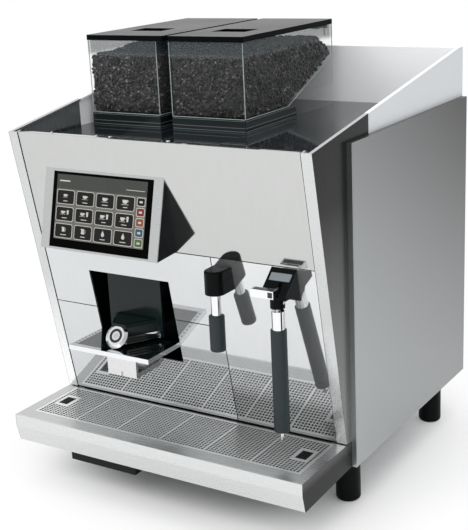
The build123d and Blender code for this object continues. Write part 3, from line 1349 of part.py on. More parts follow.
def make_brew_piston():
    """Pressing piston with its rod and the arm that the screw drives."""
    piston = upright(BREW_X, BREW_Y, PISTON_LOW_Z, PISTON_LOW_Z + PISTON_T, CHAMBER_BORE_R - PISTON_FIT)
    piston += upright(BREW_X, BREW_Y, PISTON_LOW_Z, PISTON_ROD_TOP_Z, PISTON_ROD_R)
    piston += block(
        BREW_X, SCREW_X + PISTON_ARM_W / 2, BREW_Y - PISTON_ARM_W / 2, SCREW_Y + PISTON_ARM_W / 2,
        PISTON_ARM_Z, PISTON_ARM_Z + PISTON_ARM_T,
    )
    return piston - upright(
        SCREW_X, SCREW_Y, PISTON_ARM_Z - OVERRUN, PISTON_ARM_Z + PISTON_ARM_T + OVERRUN, SCREW_R + RUN_FIT,
    )


def make_brew_screw():
    """Drive screw of the piston with its toothed wheel on top."""
    wheel_z = BREW_TOP_Z + TOUCH_GAP
    screw = upright(SCREW_X, SCREW_Y, CHAMBER_LOW_Z + OVERRUN, SCREW_TOP_Z, SCREW_R)
    screw += upright(SCREW_X, SCREW_Y, wheel_z, wheel_z + SCREW_GEAR_T, SCREW_GEAR_R)
    for number in range(SCREW_GEAR_TEETH):
        angle = 360 * number / SCREW_GEAR_TEETH
        tooth = Box(2 * SCREW_TOOTH, SCREW_TOOTH, SCREW_GEAR_T)
        tooth = Pos(SCREW_GEAR_R, 0, wheel_z + SCREW_GEAR_T / 2) * tooth
        screw += Pos(SCREW_X, SCREW_Y, 0) * Rot(0, 0, angle) * tooth
    return screw


def make_boiler():
    """Boiler standing on a round foot."""
    floor_z = BASE_Z + BASE_FLOOR_T
    tank = upright(BOILER_X, BOILER_Y, floor_z + BOILER_FOOT_H, BOILER_TOP_Z, BOILER_R)
    tank = fillet(tank.edges().filter_by(GeomType.CIRCLE), BOILER_ROUND)
    foot_top = floor_z + BOILER_FOOT_H + BOILER_ROUND
    return tank + upright(BOILER_X, BOILER_Y, floor_z, foot_top, BOILER_FOOT_R - BOILER_ROUND)


def pipe_route(start_x, tap_x):
    """Route of one pipe: up from the boiler, forward and across, down and out through the tap panel."""
    over_y = BOILER_Y - BOILER_R / 2
    drop_y = front_y(PIPE_NIPPLE_Z) + 2 * PIPE_BEND + PANEL_LEDGE_W
    return FilletPolyline(
        (start_x, over_y, BOILER_TOP_Z + TOUCH_GAP),
        (start_x, over_y, PIPE_UP_Z),
        (tap_x, drop_y, PIPE_UP_Z),
        (tap_x, drop_y, PIPE_NIPPLE_Z),
        (tap_x, front_y(PIPE_NIPPLE_Z, PANEL_SINK) + PIPE_END_BACK, PIPE_NIPPLE_Z),
        radius=PIPE_BEND,
    )


def make_pipe(start_x, tap_x):
    """One bare pipe from the boiler's top to a tap."""
    route = pipe_route(start_x, tap_x)
    section = Plane(origin=route @ 0, z_dir=route % 0) * Circle(PIPE_R)
    pipe = sweep(section, path=route)
    return pipe


def make_pump():
    """Water pump lying on its cradle."""
    floor_z = BASE_Z + BASE_FLOOR_T
    axis_z = floor_z + PUMP_FOOT_GAP_Z + PUMP_R
    x0 = PUMP_X - PUMP_L / 2
    x1 = PUMP_X + PUMP_L / 2
    pump = lying(x0, x1, PUMP_Y, axis_z, PUMP_R)
    pump += lying(x1 - OVERRUN, x1 + PUMP_HEAD_L, PUMP_Y, axis_z, PUMP_HEAD_R)
    pump += block(
        PUMP_X - PUMP_FOOT_W / 2, PUMP_X + PUMP_FOOT_W / 2,
        PUMP_Y - PUMP_FOOT_W / 2, PUMP_Y + PUMP_FOOT_W / 2,
        floor_z, axis_z,
    )
    return pump


def make_switch_frame():
    """Frame of the mains switch, pushed through the back."""
    half_w = SWITCH_W / 2
    half_h = SWITCH_H / 2
    frame = block(
        SWITCH_X - half_w + TOUCH_GAP, SWITCH_X + half_w - TOUCH_GAP,
        REAR_Y - SWITCH_T, REAR_Y + SWITCH_PROUD,
        SWITCH_Z - half_h + TOUCH_GAP, SWITCH_Z + half_h - TOUCH_GAP,
    )
    frame += block(
        SWITCH_X - half_w - SWITCH_RIM, SWITCH_X + half_w + SWITCH_RIM, REAR_Y, REAR_Y + SWITCH_PROUD,
        SWITCH_Z - half_h - SWITCH_RIM, SWITCH_Z + half_h + SWITCH_RIM,
    )
    wall = SWITCH_RIM / 2 + TOUCH_GAP
    frame -= block(
        SWITCH_X - half_w + wall, SWITCH_X + half_w - wall, REAR_Y - SWITCH_T + wall,
        REAR_Y + SWITCH_PROUD + OVERRUN, SWITCH_Z - half_h + wall, SWITCH_Z + half_h - wall,
    )
    pin_half = half_w - TOUCH_GAP
    return frame + lying(
        SWITCH_X - pin_half, SWITCH_X + pin_half, REAR_Y - SWITCH_RIM / 2, SWITCH_Z, SWITCH_PIN_R,
    )


def make_switch_rocker():
    """Rocker of the mains switch, bored for its pin and tipped to off."""
    wall = SWITCH_RIM / 2 + TOUCH_GAP
    half_w = SWITCH_W / 2 - wall - SWITCH_GAP
    half_h = SWITCH_H / 2 - wall - 2 * SWITCH_GAP
    pin_y = REAR_Y - SWITCH_RIM / 2
    outline = [
        (pin_y - SWITCH_PIN_R - OVERRUN, SWITCH_Z - SWITCH_PIN_R - OVERRUN),
        (REAR_Y + SWITCH_PROUD / 2, SWITCH_Z - half_h),
        (REAR_Y + 2 * SWITCH_PROUD, SWITCH_Z - half_h),
        (REAR_Y + SWITCH_PROUD, SWITCH_Z),
        (REAR_Y + 2 * SWITCH_PROUD, SWITCH_Z + half_h),
        (REAR_Y + SWITCH_PROUD / 2, SWITCH_Z + half_h),
        (pin_y - SWITCH_PIN_R - OVERRUN, SWITCH_Z + SWITCH_PIN_R + OVERRUN),
    ]
    rocker = side_plate(outline, SWITCH_X - half_w, SWITCH_X + half_w)
    rocker -= lying(
        SWITCH_X - SWITCH_W, SWITCH_X + SWITCH_W, pin_y, SWITCH_Z, SWITCH_PIN_R + RUN_FIT,
    )
    return rocker.rotate(Axis((0, pin_y, SWITCH_Z), (1, 0, 0)), SWITCH_TILT)


def make_rear_fittings():
    """Water inlet nipple and cord gland, two separate pieces screwed into the back."""
    inlet_y0 = REAR_Y - SHEET - INLET_L / 2
    inlet_y1 = REAR_Y + INLET_L
    inlet_place = Pos(INLET_X, (inlet_y0 + inlet_y1) / 2, SWITCH_Z) * Rot(90, 0, 0)
    inlet = inlet_place * Cylinder(INLET_R, inlet_y1 - inlet_y0)
    inlet += Pos(INLET_X, REAR_Y + SHEET / 2, SWITCH_Z) * Rot(90, 0, 0) * Cylinder(INLET_R + SHEET, SHEET)
    inlet -= inlet_place * Cylinder(INLET_BORE_R, inlet_y1 - inlet_y0 + OVERRUN)
    gland_y0 = REAR_Y - SHEET - GLAND_L / 2
    gland_y1 = REAR_Y + GLAND_L
    gland_place = Pos(GLAND_X, (gland_y0 + gland_y1) / 2, SWITCH_Z) * Rot(90, 0, 0)
    gland = gland_place * Cylinder(GLAND_R, gland_y1 - gland_y0)
    gland += Pos(GLAND_X, REAR_Y + SHEET / 2, SWITCH_Z) * Rot(90, 0, 0) * Cylinder(GLAND_R + SHEET, SHEET)
    gland -= gland_place * Cylinder(GLAND_R - SHEET, gland_y1 - gland_y0 + OVERRUN)
    return inlet, gland


def main():
    os.makedirs("parts", exist_ok=True)
    display_place = display_frame()
    side_frame = make_side_frame()
    side_panel = make_side_panel()
    inlet, gland = make_rear_fittings()
    pieces = {
        "base_pan": make_base_pan(),
        "side_frame_left": mirrored(side_frame),
        "side_frame_right": side_frame,
        "rear_housing": make_rear_housing(),
        "deck_plate": make_deck_plate(),
        "side_panel_left": mirrored(side_panel),
        "side_panel_right": side_panel,
        "upper_panel": make_upper_panel(),
        "middle_panel": make_middle_panel(),
        "tap_panel": make_tap_panel(),
        "drawer_front": make_drawer_front(),
        "drawer_grip": make_drawer_grip(),
        "grounds_bin": make_grounds_bin(),
        "display_housing": make_display_housing(display_place),
        "display_glass": make_display_glass(display_place),
        "niche_liner": make_niche_liner(),
        "outlet_carriage": make_outlet_carriage(),
        "outlet_bow": make_outlet_bow(),
        "shelf_frame": make_shelf_frame(),
        "shelf_plate": make_shelf_plate(),
        "drip_tray": make_drip_tray(),
        "drip_pan": make_drip_pan(),
        "drip_grid": make_drip_grid(),
        "water_block": make_water_block(),
        "water_tube": make_water_tube(),
        "water_nozzle": make_water_nozzle(),
        "steam_block": make_steam_block(),
        "steam_inset": make_steam_inset(),
        "steam_lever": make_steam_lever(),
        "steam_collar": make_steam_collar(),
        "steam_tube": make_steam_tube(),
        "steam_sleeve": make_steam_sleeve(),
        "brew_frame": make_brew_frame(),
        "brew_piston": make_brew_piston(),
        "brew_screw": make_brew_screw(),
        "boiler": make_boiler(),
        "water_pipe": make_pipe(BOILER_X + PIPE_WATER_SIDE, WATER_X),
        "steam_pipe": make_pipe(BOILER_X + PIPE_STEAM_SIDE, STEAM_X),
        "pump": make_pump(),
        "switch_frame": make_switch_frame(),
        "switch_rocker": make_switch_rocker(),
        "water_inlet": inlet,
        "cord_gland": gland,
    }
    lids = {"left": (LEFT_LID_X0, LEFT_LID_X1), "right": (RIGHT_LID_X0, RIGHT_LID_X1)}
    for side, x in (("left", HOPPER_LEFT_X), ("right", HOPPER_RIGHT_X)):
        pieces[f"hopper_body_{side}"] = make_hopper_body(x)
        pieces[f"hopper_plinth_{side}"] = make_hopper_plinth(x)
        pieces[f"hopper_gate_{side}"] = make_hopper_gate(x)
        pieces[f"hopper_beans_{side}"] = make_hopper_beans(x)
        pieces[f"hopper_lid_{side}"] = make_hopper_lid(x, *lids[side])
        pieces[f"hopper_lock_{side}"] = make_hopper_lock(x)
        pieces[f"grinder_{side}"] = make_grinder(x)
        pieces[f"grinder_rotor_{side}"] = make_grinder_rotor(x)
    feet = [make_foot(side * FOOT_X, y) for side in (-1, 1) for y in (FOOT_FRONT_Y, FOOT_REAR_Y)]
    pieces["feet"] = Compound(children=feet)
    for name, shape in pieces.items():
        save(name, shape)
    print(len(pieces), "pieces")


main()
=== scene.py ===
"""Counter-top coffee machine: finishes, beans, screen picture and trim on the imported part."""

import math

import bmesh
import bpy
from mathutils import Matrix, Vector


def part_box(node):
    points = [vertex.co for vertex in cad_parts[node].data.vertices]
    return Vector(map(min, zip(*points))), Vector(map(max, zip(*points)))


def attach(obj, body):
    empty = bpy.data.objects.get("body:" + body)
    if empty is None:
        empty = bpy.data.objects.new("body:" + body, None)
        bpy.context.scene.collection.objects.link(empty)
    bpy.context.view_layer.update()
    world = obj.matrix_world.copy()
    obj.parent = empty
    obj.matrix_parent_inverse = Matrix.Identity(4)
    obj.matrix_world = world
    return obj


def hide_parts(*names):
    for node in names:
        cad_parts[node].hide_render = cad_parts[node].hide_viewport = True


MM = 0.001
WHITE = (1.0, 1.0, 1.0, 1.0)

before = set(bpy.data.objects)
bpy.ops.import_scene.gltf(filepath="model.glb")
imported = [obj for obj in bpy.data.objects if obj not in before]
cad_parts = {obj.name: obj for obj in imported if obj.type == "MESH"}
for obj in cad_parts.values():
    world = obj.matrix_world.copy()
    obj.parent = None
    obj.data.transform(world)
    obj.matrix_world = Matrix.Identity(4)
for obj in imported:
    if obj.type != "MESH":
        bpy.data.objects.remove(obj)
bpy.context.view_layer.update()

# The display's glass in millimetres: its lower edge, the way up along it, and the way off it.
SCREEN_FOOT = Vector((0, -212.3, 313.6))
SCREEN_UP = Vector((0, 0.2440, 0.9698))
SCREEN_OUT = Vector((0, -0.9698, 0.2440))
SCREEN_DEPTH = -SCREEN_FOOT.dot(SCREEN_OUT)


def put(name, data):
    """A new object in the scene."""
    piece = bpy.data.objects.new(name, data)
    bpy.context.collection.objects.link(piece)
    return piece


def mesh_of(name, shape):
    """A mesh from a bmesh that is done."""
    mesh = bpy.data.meshes.new(name)
    shape.to_mesh(mesh)
    shape.free()
    return mesh


# ---- camera, room and lights

CAMERA_SPOT = (757.8, -1204.5, 680.05)
CAMERA_AZIMUTH, CAMERA_ELEVATION, CAMERA_ROLL = 32.845, 16.773, -2.761
FOCAL_PIXELS = 1135.1
PHOTO_HEIGHT = 530
SENSOR = 36.0
NEAREST = 0.05

# What the room gives: to plain surfaces, and to mirrors on its left and right.
STUDIO_LEVEL = 0.80
LEFT_GLOSS, RIGHT_GLOSS = 0.98, 0.46
GLOSS_SPAN = (-0.1, 0.75)
RIGHT_FLAG, RIGHT_FLAG_SPAN = 0.82, (0.76, 0.86)
LEFT_FLAG, LEFT_FLAG_SPAN = 0.55, (0.80, 0.90)

# Soft lights: place and target in metres, side in metres, watts.
LIGHTS = {
    "key_light": ((-1.6, -2.2, 2.6), (0, 0, 0.25), 1.8, 27),
    "fill_light": ((2.2, -1.8, 1.6), (0, 0, 0.3), 1.8, 10),
    "front_light": ((0.4, -1.9, 1.9), (0, 0.1, 0.35), 1.4, 16),
    "top_light": ((0.4, 0.3, 2.9), (0, 0, 0.3), 2.2, 16),
}

# The floor and the dark card on it, in metres and degrees.
FLOOR_RADIUS = 6.0
FADE_SPAN = (0.16, 0.44)
FLAG_MIDDLE = (0.12, -0.19, 0.002)
FLAG_FROM, FLAG_TO = -16.0, 12.0
FLAG_NEAR, FLAG_FAR = 0.40, 2.4
FLAG_STEPS = 8


def aim_camera():
    """Camera at the photograph's place and angle."""
    lens = bpy.data.cameras.new("photo_camera")
    lens.sensor_fit = "VERTICAL"
    lens.sensor_height = SENSOR
    lens.lens = FOCAL_PIXELS / PHOTO_HEIGHT * SENSOR
    lens.clip_start = NEAREST
    camera = put("photo_camera", lens)
    spot = Matrix.Translation(Vector(CAMERA_SPOT) * MM)
    azimuth = Matrix.Rotation(math.radians(CAMERA_AZIMUTH), 4, "Z")
    elevation = Matrix.Rotation(math.radians(90 - CAMERA_ELEVATION), 4, "X")
    camera.matrix_world = (
        spot @ azimuth @ elevation @ Matrix.Rotation(math.radians(CAMERA_ROLL), 4, "Z")
    )
    bpy.context.scene.camera = camera


def hang_light(name, spot, target, size, watts):
    """A soft square light that faces a target point and isn't mirrored."""
    panel = bpy.data.lights.new(name, "AREA")
    panel.shape = "SQUARE"
    panel.size = size
    panel.energy = watts
    light = put(name, panel)
    light.visible_glossy = False
    light.location = spot
    away = Vector(spot) - Vector(target)
    light.rotation_euler = away.to_track_quat("Z", "Y").to_euler()


# ---- node kit


def sum_with(operation, swapped=False):
    """A method that works one operation on a value and another one."""

    def method(self, other=0.0):
        first, second = (other, self) if swapped else (self, other)
        return self.nodes.node("ShaderNodeMath", {"operation": operation}, {0: first, 1: second})

    return method


class Value:
    """What a node's socket gives, with Python's own sums on it."""

    def __init__(self, nodes, socket):
        self.nodes = nodes
        self.socket = socket

    __add__ = sum_with("ADD")
    __sub__ = sum_with("SUBTRACT")
    __rsub__ = sum_with("SUBTRACT", swapped=True)
    __mul__ = sum_with("MULTIPLY")
    size = sum_with("ABSOLUTE")
    at_most = sum_with("MINIMUM")
    is_below = sum_with("LESS_THAN")
    is_above = sum_with("GREATER_THAN")

    def other(self, output):
        """Another output of the same node."""
        return Value(self.nodes, self.socket.node.outputs[output])

    def step(self, low, high, first=0.0, last=1.0, kind="LINEAR"):
        """first below low, last above high, and even or smooth between."""
        return self.nodes.node(
            "ShaderNodeMapRange", {"interpolation_type": kind},
            {"Value": self, "From Min": low, "From Max": high, "To Min": first, "To Max": last},
        )


class Nodes:
    """A node tree, built node by node."""

    def __init__(self, tree):
        self.tree = tree
        tree.nodes.clear()

    def node(self, kind, settings=None, inputs=None, output=0):
        """One node of any type: its settings, then its sockets' values or links.
        A list gives several links to one socket."""
        node = self.tree.nodes.new(kind)
        for name, setting in (settings or {}).items():
            setattr(node, name, setting)
        for name, values in (inputs or {}).items():
            for value in values if isinstance(values, list) else [values]:
                if isinstance(value, Value):
                    self.tree.links.new(value.socket, node.inputs[name])
                else:
                    node.inputs[name].default_value = value
        return Value(self, node.outputs[output])

    def end(self, value, kind):
        out = self.tree.nodes.new(kind)
        self.tree.links.new(value.socket, out.inputs[0])


class Finish(Nodes):
    """The nodes of a material, or of the world."""

    def __init__(self, owner):
        owner.use_nodes = True
        super().__init__(owner.node_tree)
        self.owner = owner

    def done(self, shader):
        self.end(shader, "ShaderNodeOutputMaterial")
        return self.owner

    def own(self):
        """The piece's own coordinates in metres."""
        return self.node("ShaderNodeTexCoord", output="Object")

    def place(self, stretch=(1, 1, 1), turn=(0, 0, 0)):
        """The piece's own coordinates, stretched and turned."""
        return self.node(
            "ShaderNodeMapping", inputs={"Vector": self.own(), "Scale": stretch, "Rotation": turn}
        )

    def along(self, axis):
        """One coordinate, in millimetres."""
        return self.node("ShaderNodeSeparateXYZ", inputs={0: self.own()}, output=axis) * 1000.0

    def noise(self, place, scale=1.0, detail=3.0, rough=0.5):
        return self.node(
            "ShaderNodeTexNoise",
            inputs={"Vector": place, "Scale": scale, "Detail": detail, "Roughness": rough},
            output="Fac",
        )

    def cells(self, place, scale):
        """A random number for each cell of a pattern."""
        pattern = self.node(
            "ShaderNodeTexVoronoi", {"feature": "F1"}, {"Vector": place, "Scale": scale},
            output="Color",
        )
        return self.node("ShaderNodeSeparateColor", inputs={0: pattern}, output=0)

    def mix(self, amount, low, high):
        """A colour between two colours."""
        return self.node(
            "ShaderNodeMix", {"data_type": "RGBA"}, {0: amount, 6: low, 7: high}, output=2
        )

    def bump(self, height, strength, distance):
        return self.node(
            "ShaderNodeBump", inputs={"Height": height, "Strength": strength, "Distance": distance}
        )

    def seen(self):
        """1 for rays from the camera, straight or through clear pieces."""
        ray = "ShaderNodeLightPath"
        straight = self.node(ray, output="Is Camera Ray")
        return (straight + self.node(ray, output="Is Transmission Ray")).at_most(1.0)


def start(name):
    return Finish(bpy.data.materials.new(name))


def shade(base, factor):
    """A colour made lighter or darker, worked out in Python."""
    return tuple(min(1.0, channel * factor) for channel in base[:3]) + (1.0,)


def light_the_room():
    """White studio: plain soft light on the object, white background for the camera."""
    world = bpy.data.worlds.new("studio")
    bpy.context.scene.world = world
    room = Finish(world)
    seen = room.seen()
    gloss = room.node("ShaderNodeLightPath", output="Is Glossy Ray")
    heading = room.node("ShaderNodeTexCoord", output="Generated")
    sideways = room.node("ShaderNodeSeparateXYZ", inputs={0: heading}, output="X")
    fall = sideways.step(*GLOSS_SPAN, LEFT_GLOSS, RIGHT_GLOSS, kind="SMOOTHSTEP")
    right_flag = sideways.step(*RIGHT_FLAG_SPAN) * RIGHT_FLAG
    left_flag = (0 - sideways).step(*LEFT_FLAG_SPAN) * LEFT_FLAG
    mirrored = gloss * fall * (1 - right_flag) * (1 - left_flag)
    level = seen + (1 - seen) * (mirrored + (1 - gloss) * STUDIO_LEVEL)
    room.end(
        room.node("ShaderNodeBackground", inputs={"Color": WHITE, "Strength": level}),
        "ShaderNodeOutputWorld",
    )


def lay_floor():
    """Pale floor that fades into the white background away from the object."""
    bpy.ops.mesh.primitive_circle_add(vertices=96, radius=FLOOR_RADIUS, fill_type="NGON")
    floor = bpy.context.object
    floor.name = "pale_floor"
    paper = start("pale_floor")
    own = paper.own()
    reach = paper.node("ShaderNodeVectorMath", {"operation": "LENGTH"}, {0: own}, output="Value")
    far = reach.step(*FADE_SPAN, kind="SMOOTHSTEP")
    grain = paper.noise(own, 900.0, 2.0)
    matt = paper.node(
        "ShaderNodeBsdfDiffuse",
        inputs={"Color": paper.mix(grain, (0.93, 0.93, 0.93, 1), (0.97, 0.97, 0.97, 1))},
    )
    glow = paper.node("ShaderNodeEmission", inputs={"Color": WHITE, "Strength": 1.0})
    sheet = paper.node("ShaderNodeMixShader", inputs={0: far * paper.seen(), 1: matt, 2: glow})
    floor.data.materials.append(paper.done(sheet))


def lay_flag():
    """Dark card on the floor that only polished curved pieces mirror, as bands."""
    corners = []
    for step in range(FLAG_STEPS + 1):
        angle = math.radians(FLAG_FROM + (FLAG_TO - FLAG_FROM) * step / FLAG_STEPS)
        away = Vector((math.cos(angle), math.sin(angle), 0))
        corners += [tuple(Vector(FLAG_MIDDLE) + away * reach) for reach in (FLAG_NEAR, FLAG_FAR)]
    mesh = bpy.data.meshes.new("dark_flag")
    starts = range(0, 2 * FLAG_STEPS, 2)
    mesh.from_pydata(corners, [], [[at, at + 1, at + 3, at + 2] for at in starts])
    card = start("dark_flag")
    felt = card.mix(card.noise(card.own(), 60.0), (0.02, 0.02, 0.02, 1), (0.05, 0.05, 0.05, 1))
    mesh.materials.append(card.done(card.node("ShaderNodeBsdfDiffuse", inputs={"Color": felt})))
    flag = put("dark_flag", mesh)
    for kind in ("camera", "diffuse", "shadow", "transmission", "volume_scatter"):
        setattr(flag, "visible_" + kind, False)


# ---- finishes


def surface(base, roughness, metal=0.0, bump=None, **fixed):
    """A finish from a base colour and a roughness that may vary, and fixed values."""
    finish = roughness.nodes
    inputs = {"Base Color": base, "Roughness": roughness, "Metallic": metal}
    if bump is not None:
        inputs["Normal"] = bump
    for label, value in fixed.items():
        inputs[label.replace("_", " ").title().replace("Ior", "IOR")] = value
    return finish.done(finish.node("ShaderNodeBsdfPrincipled", inputs=inputs))


# How often the brush lines repeat, per metre.
BRUSH_ACROSS, BRUSH_ALONG = 1400.0, 9.0

# Places in millimetres between which a finish changes.
TAP_FOOT_SHADE_SPAN = (130.0, 150.0)
REAR_WALL_SHADE_SPAN = (208.1, 208.3)
PAINTED_VEIL_SPAN = (461.0, 464.0)
LID_SHADE_SPAN = (523.0, 529.0)
RISING_SPANS = {"X": (206.6, 207.0), "Y": (-190.0, -188.0), "Z": (437.0, 438.0)}
WALL_X_SPAN = (208.3, 208.5)
WALL_SHADE_SPAN = (95.0, 385.0)
TRAY_SHEEN_SPAN = (110.0, 260.0)
PANEL_SPAN = (60.0, 440.0)
PANEL_BACK_SPAN = (-110.0, 215.0)
TRAY_END_SHADE_SPAN = (207.9, 208.3)
TRAY_RIM_SPAN = (91.6, 92.4)
TRAY_FRONT_SPAN = (-237.0, -234.0)
TRAY_SIDE_SPAN = (80.0, 92.0)
WEDGE_SPAN = (1.2, 1.6)

# How much of what is behind a clear wall its painted reflection veil and the painted shade under
# the lid take.
PAINTED_VEIL_DENSITY = 0.022
SHADED_DENSITY = 0.26


def brushed_metal(name, base, roughness, along, tint=None, share=None, **fixed):
    """Steel or aluminium with fine brush lines along one axis and faint handling marks.
    tint gives the metal's tone over the piece, and share how metallic it is."""
    metal = start(name)
    stretch = tuple(BRUSH_ALONG if axis == along else BRUSH_ACROSS for axis in "xyz")
    lines = metal.noise(metal.place(stretch), 1.0, 2.0, 0.6)
    clouds = metal.noise(metal.place(), 7.0, 3.0, 0.55)
    tone = (lines - 0.5) * 0.3 + (clouds - 0.5) * 0.12 + 0.5
    colour = tint(metal, tone) if tint else metal.mix(tone, shade(base, 0.9), shade(base, 1.1))
    rough = (lines - 0.5) * 0.16 + (clouds - 0.5) * 0.08 + roughness
    dents = metal.bump(lines, 0.25, 0.00002)
    return surface(colour, rough, share(metal) if share else 1.0, dents, **fixed)


def mirror_steel(name, base, roughness, metal_share=1.0, foot=1.0):
    """Polished sheet that ripples a little, with faint wiping marks and a little haze.
    foot is how dark the painted shade on its lowest part gets, standing in for a darker
    reflection."""
    metal = start(name)
    ripple = metal.noise(metal.place(), 9.0, 1.0, 0.4)
    wipes = metal.noise(metal.place((160.0, 160.0, 18.0), (0, 0.4, 0)), 1.0, 2.0)
    colour = metal.mix(wipes, shade(base, 0.97), shade(base, 1.03))
    if foot < 1.0:
        # Painted shade: the lowest part darkens as a stand-in for a darker reflection.
        low = 1 - metal.along("Z").step(*TAP_FOOT_SHADE_SPAN)
        colour = metal.mix(low, colour, shade(base, foot))
    rough = (wipes - 0.5) * 0.03 + roughness
    return surface(colour, rough, metal_share, metal.bump(ripple, 0.05, 0.0006))


def moulded(name, base, roughness, grain=0.00003, scale=1600.0, **fixed):
    """Moulded plastic or rubber with a fine grain and slight colour drift."""
    plastic = start(name)
    specks = plastic.noise(plastic.place(), scale, 2.0)
    drift = plastic.noise(plastic.place(), 14.0, 3.0)
    colour = plastic.mix(specks * 0.4 + drift * 0.6, shade(base, 0.8), shade(base, 1.25))
    rough = (drift - 0.5) * 0.08 + roughness
    return surface(colour, rough, 0.0, plastic.bump(specks, 0.4, grain), **fixed)


def painted_sheet(name, inner, outer, roughness):
    """Light satin coat on sheet with a faint orange-peel; painted shade makes it deeper on its
    outer side walls.
    """
    coat = start(name)
    peel = coat.noise(coat.place(), 260.0, 2.0)
    drift = coat.noise(coat.place(), 5.0, 2.0)
    # Painted shade: the outer side walls take the darker colour.
    side = coat.along("X").size().step(*REAR_WALL_SHADE_SPAN)
    colour = coat.mix(drift * 0.06, coat.mix(side, inner, outer), (0.5, 0.5, 0.5, 1))
    return surface(colour, (peel - 0.5) * 0.06 + roughness, 0.0, coat.bump(peel, 0.2, 0.0002))


def smoky_clear(name, tint, low, high):
    """Clear smoked plastic: denser towards its edges, with a painted lighter reflection veil above
    its foot and painted shade under its lid.
    """
    clear = start(name)
    facing = clear.node("ShaderNodeLayerWeight", inputs={"Blend": 0.35}, output="Facing")
    haze = clear.noise(clear.place(), 30.0, 2.0)
    # Painted reflection: a light veil over the wall above its foot.
    painted_veil = clear.along("Z").step(*PAINTED_VEIL_SPAN) * PAINTED_VEIL_DENSITY
    cover = facing * facing * (high - low) + low + painted_veil + (haze - 0.5) * 0.02
    # Painted shade: the wall darkens under the lid.
    shaded = clear.along("Z").step(*LID_SHADE_SPAN)
    cover = cover + shaded * SHADED_DENSITY
    colour = clear.mix(haze, shade(tint, 0.92), shade(tint, 1.08))
    colour = clear.mix(shaded * 0.8, colour, (0.03, 0.045, 0.05, 1))
    return surface(colour, haze * 0.03 + 0.04, 0.0, Alpha=cover, Specular_Ior_Level=0.6)


def roasted_bean(name):
    """Dark roasted beans: each a little different, with a sheen of oil, and pale specks that are
    painted glints and also chaff flecks.
    """
    roast = start(name)
    place = roast.place()
    each = roast.cells(place, 190.0)
    skin = roast.noise(place, 900.0, 3.0)
    body = roast.mix(each * 0.75 + skin * 0.25, (0.003, 0.003, 0.003, 1), (0.044, 0.040, 0.040, 1))
    # Pale specks: painted glints of light, also chaff flecks.
    silverskin_and_glints = roast.noise(place, 300.0, 1.0).step(0.60, 0.72)
    colour = roast.mix(silverskin_and_glints * (each * 0.8 + 0.2), body, (0.30, 0.265, 0.24, 1))
    rough = (each - 0.5) * 0.2 + 0.42
    return surface(colour, rough, 0.0, roast.bump(skin, 0.5, 0.0003), Specular_Ior_Level=0.16)


def galvanised(name):
    """Zinc coated sheet with its spangle."""
    zinc = start(name)
    flake = zinc.cells(zinc.place(), 90.0)
    colour = zinc.mix(flake, (0.44, 0.46, 0.48, 1), (0.62, 0.64, 0.66, 1))
    return surface(colour, flake * 0.2 + 0.35, 0.9)


def lit_picture(name, base, glow, roughness=0.25):
    """A lit part of the screen picture, under its glass."""
    lit = start(name)
    pixels = lit.noise(lit.place(), 2500.0, 1.0)
    drift = lit.noise(lit.place(), 25.0, 1.0)
    colour = lit.mix(pixels * 0.3 + drift * 0.7, shade(base, 0.88), shade(base, 1.1))
    return surface(
        colour, drift * 0.05 + roughness, 0.0, Specular_Ior_Level=0.25,
        Emission_Color=colour, Emission_Strength=glow,
    )


def grey(level, blue=1.0):
    """A steel grey, a little towards blue."""
    return (level * 0.985, level * (1 + blue) / 2, level * blue, 1.0)


def rising_face(metal):
    """1 on the inner faces of the rising walls beside the deck."""
    inner = 1 - metal.along("X").size().step(*RISING_SPANS["X"])
    high = metal.along("Z").step(*RISING_SPANS["Z"])
    return inner * high * metal.along("Y").step(*RISING_SPANS["Y"])


def frame_share(metal):
    """How metallic the front module is: its rising inner faces are a little satin."""
    return 1 - rising_face(metal) * 0.16


def frame_tone(metal, tone):
    """Front strips light, lighter still near the tray as a painted reflection; the outer wall of
    the front module carries painted shade, dark at its top, lighter below.
    """
    # Painted reflection: the strips lighten towards the tray.
    painted_sheen_near_tray = 1 - metal.along("Z").step(*TRAY_SHEEN_SPAN)
    wall = metal.along("X").size().step(*WALL_X_SPAN)
    # Painted shade on the outer wall: dark at the top, lighter below.
    fall = metal.mix(metal.along("Z").step(*WALL_SHADE_SPAN), grey(0.25), grey(0.010))
    strip = metal.mix(painted_sheen_near_tray, metal.mix(tone, grey(0.53, 1.01), grey(0.63, 1.01)), grey(0.95))
    return metal.mix(wall, metal.mix(rising_face(metal), strip, grey(0.55, 1.06)), fall)


def painted_skin_shade(metal, tone):
    """Outer side panel: painted shade makes it deeper towards its top and back."""
    low = 1 - metal.along("Z").step(*PANEL_SPAN)
    back = metal.along("Y").step(*PANEL_BACK_SPAN)
    # Painted shade: the level falls towards the top and the back.
    level = low * (0.60 - back * 0.22) + (1 - back) * (1 - low) * 0.34 + (tone - 0.5) * 0.35
    return metal.mix(level, grey(0.085, 0.99), grey(0.66, 1.05))


def tray_tone(metal, tone):
    """Tray shell: light, with ends darkened by painted shade, deepest at their foot."""
    end = metal.along("X").size().step(*TRAY_END_SHADE_SPAN)
    rim = metal.along("Z").step(*TRAY_RIM_SPAN) * metal.along("Y").step(*TRAY_FRONT_SPAN)
    light = metal.mix(tone * 0.12, metal.mix(rim, grey(0.69), grey(0.60)), grey(0.5))
    # Painted shade on the ends: near black at their foot, a little lighter at the top.
    dark = metal.mix(metal.along("Z").step(*TRAY_SIDE_SPAN), grey(0.012), grey(0.09))
    return metal.mix(end, light, dark)


def behind_face(metal):
    """1 on the display housing's wedge, 0 on its face."""
    deep = metal.node(
        "ShaderNodeVectorMath", {"operation": "DOT_PRODUCT"},
        {0: metal.own(), 1: tuple(-SCREEN_OUT)}, output="Value",
    )
    return (deep * 1000.0 - SCREEN_DEPTH).step(*WEDGE_SPAN)


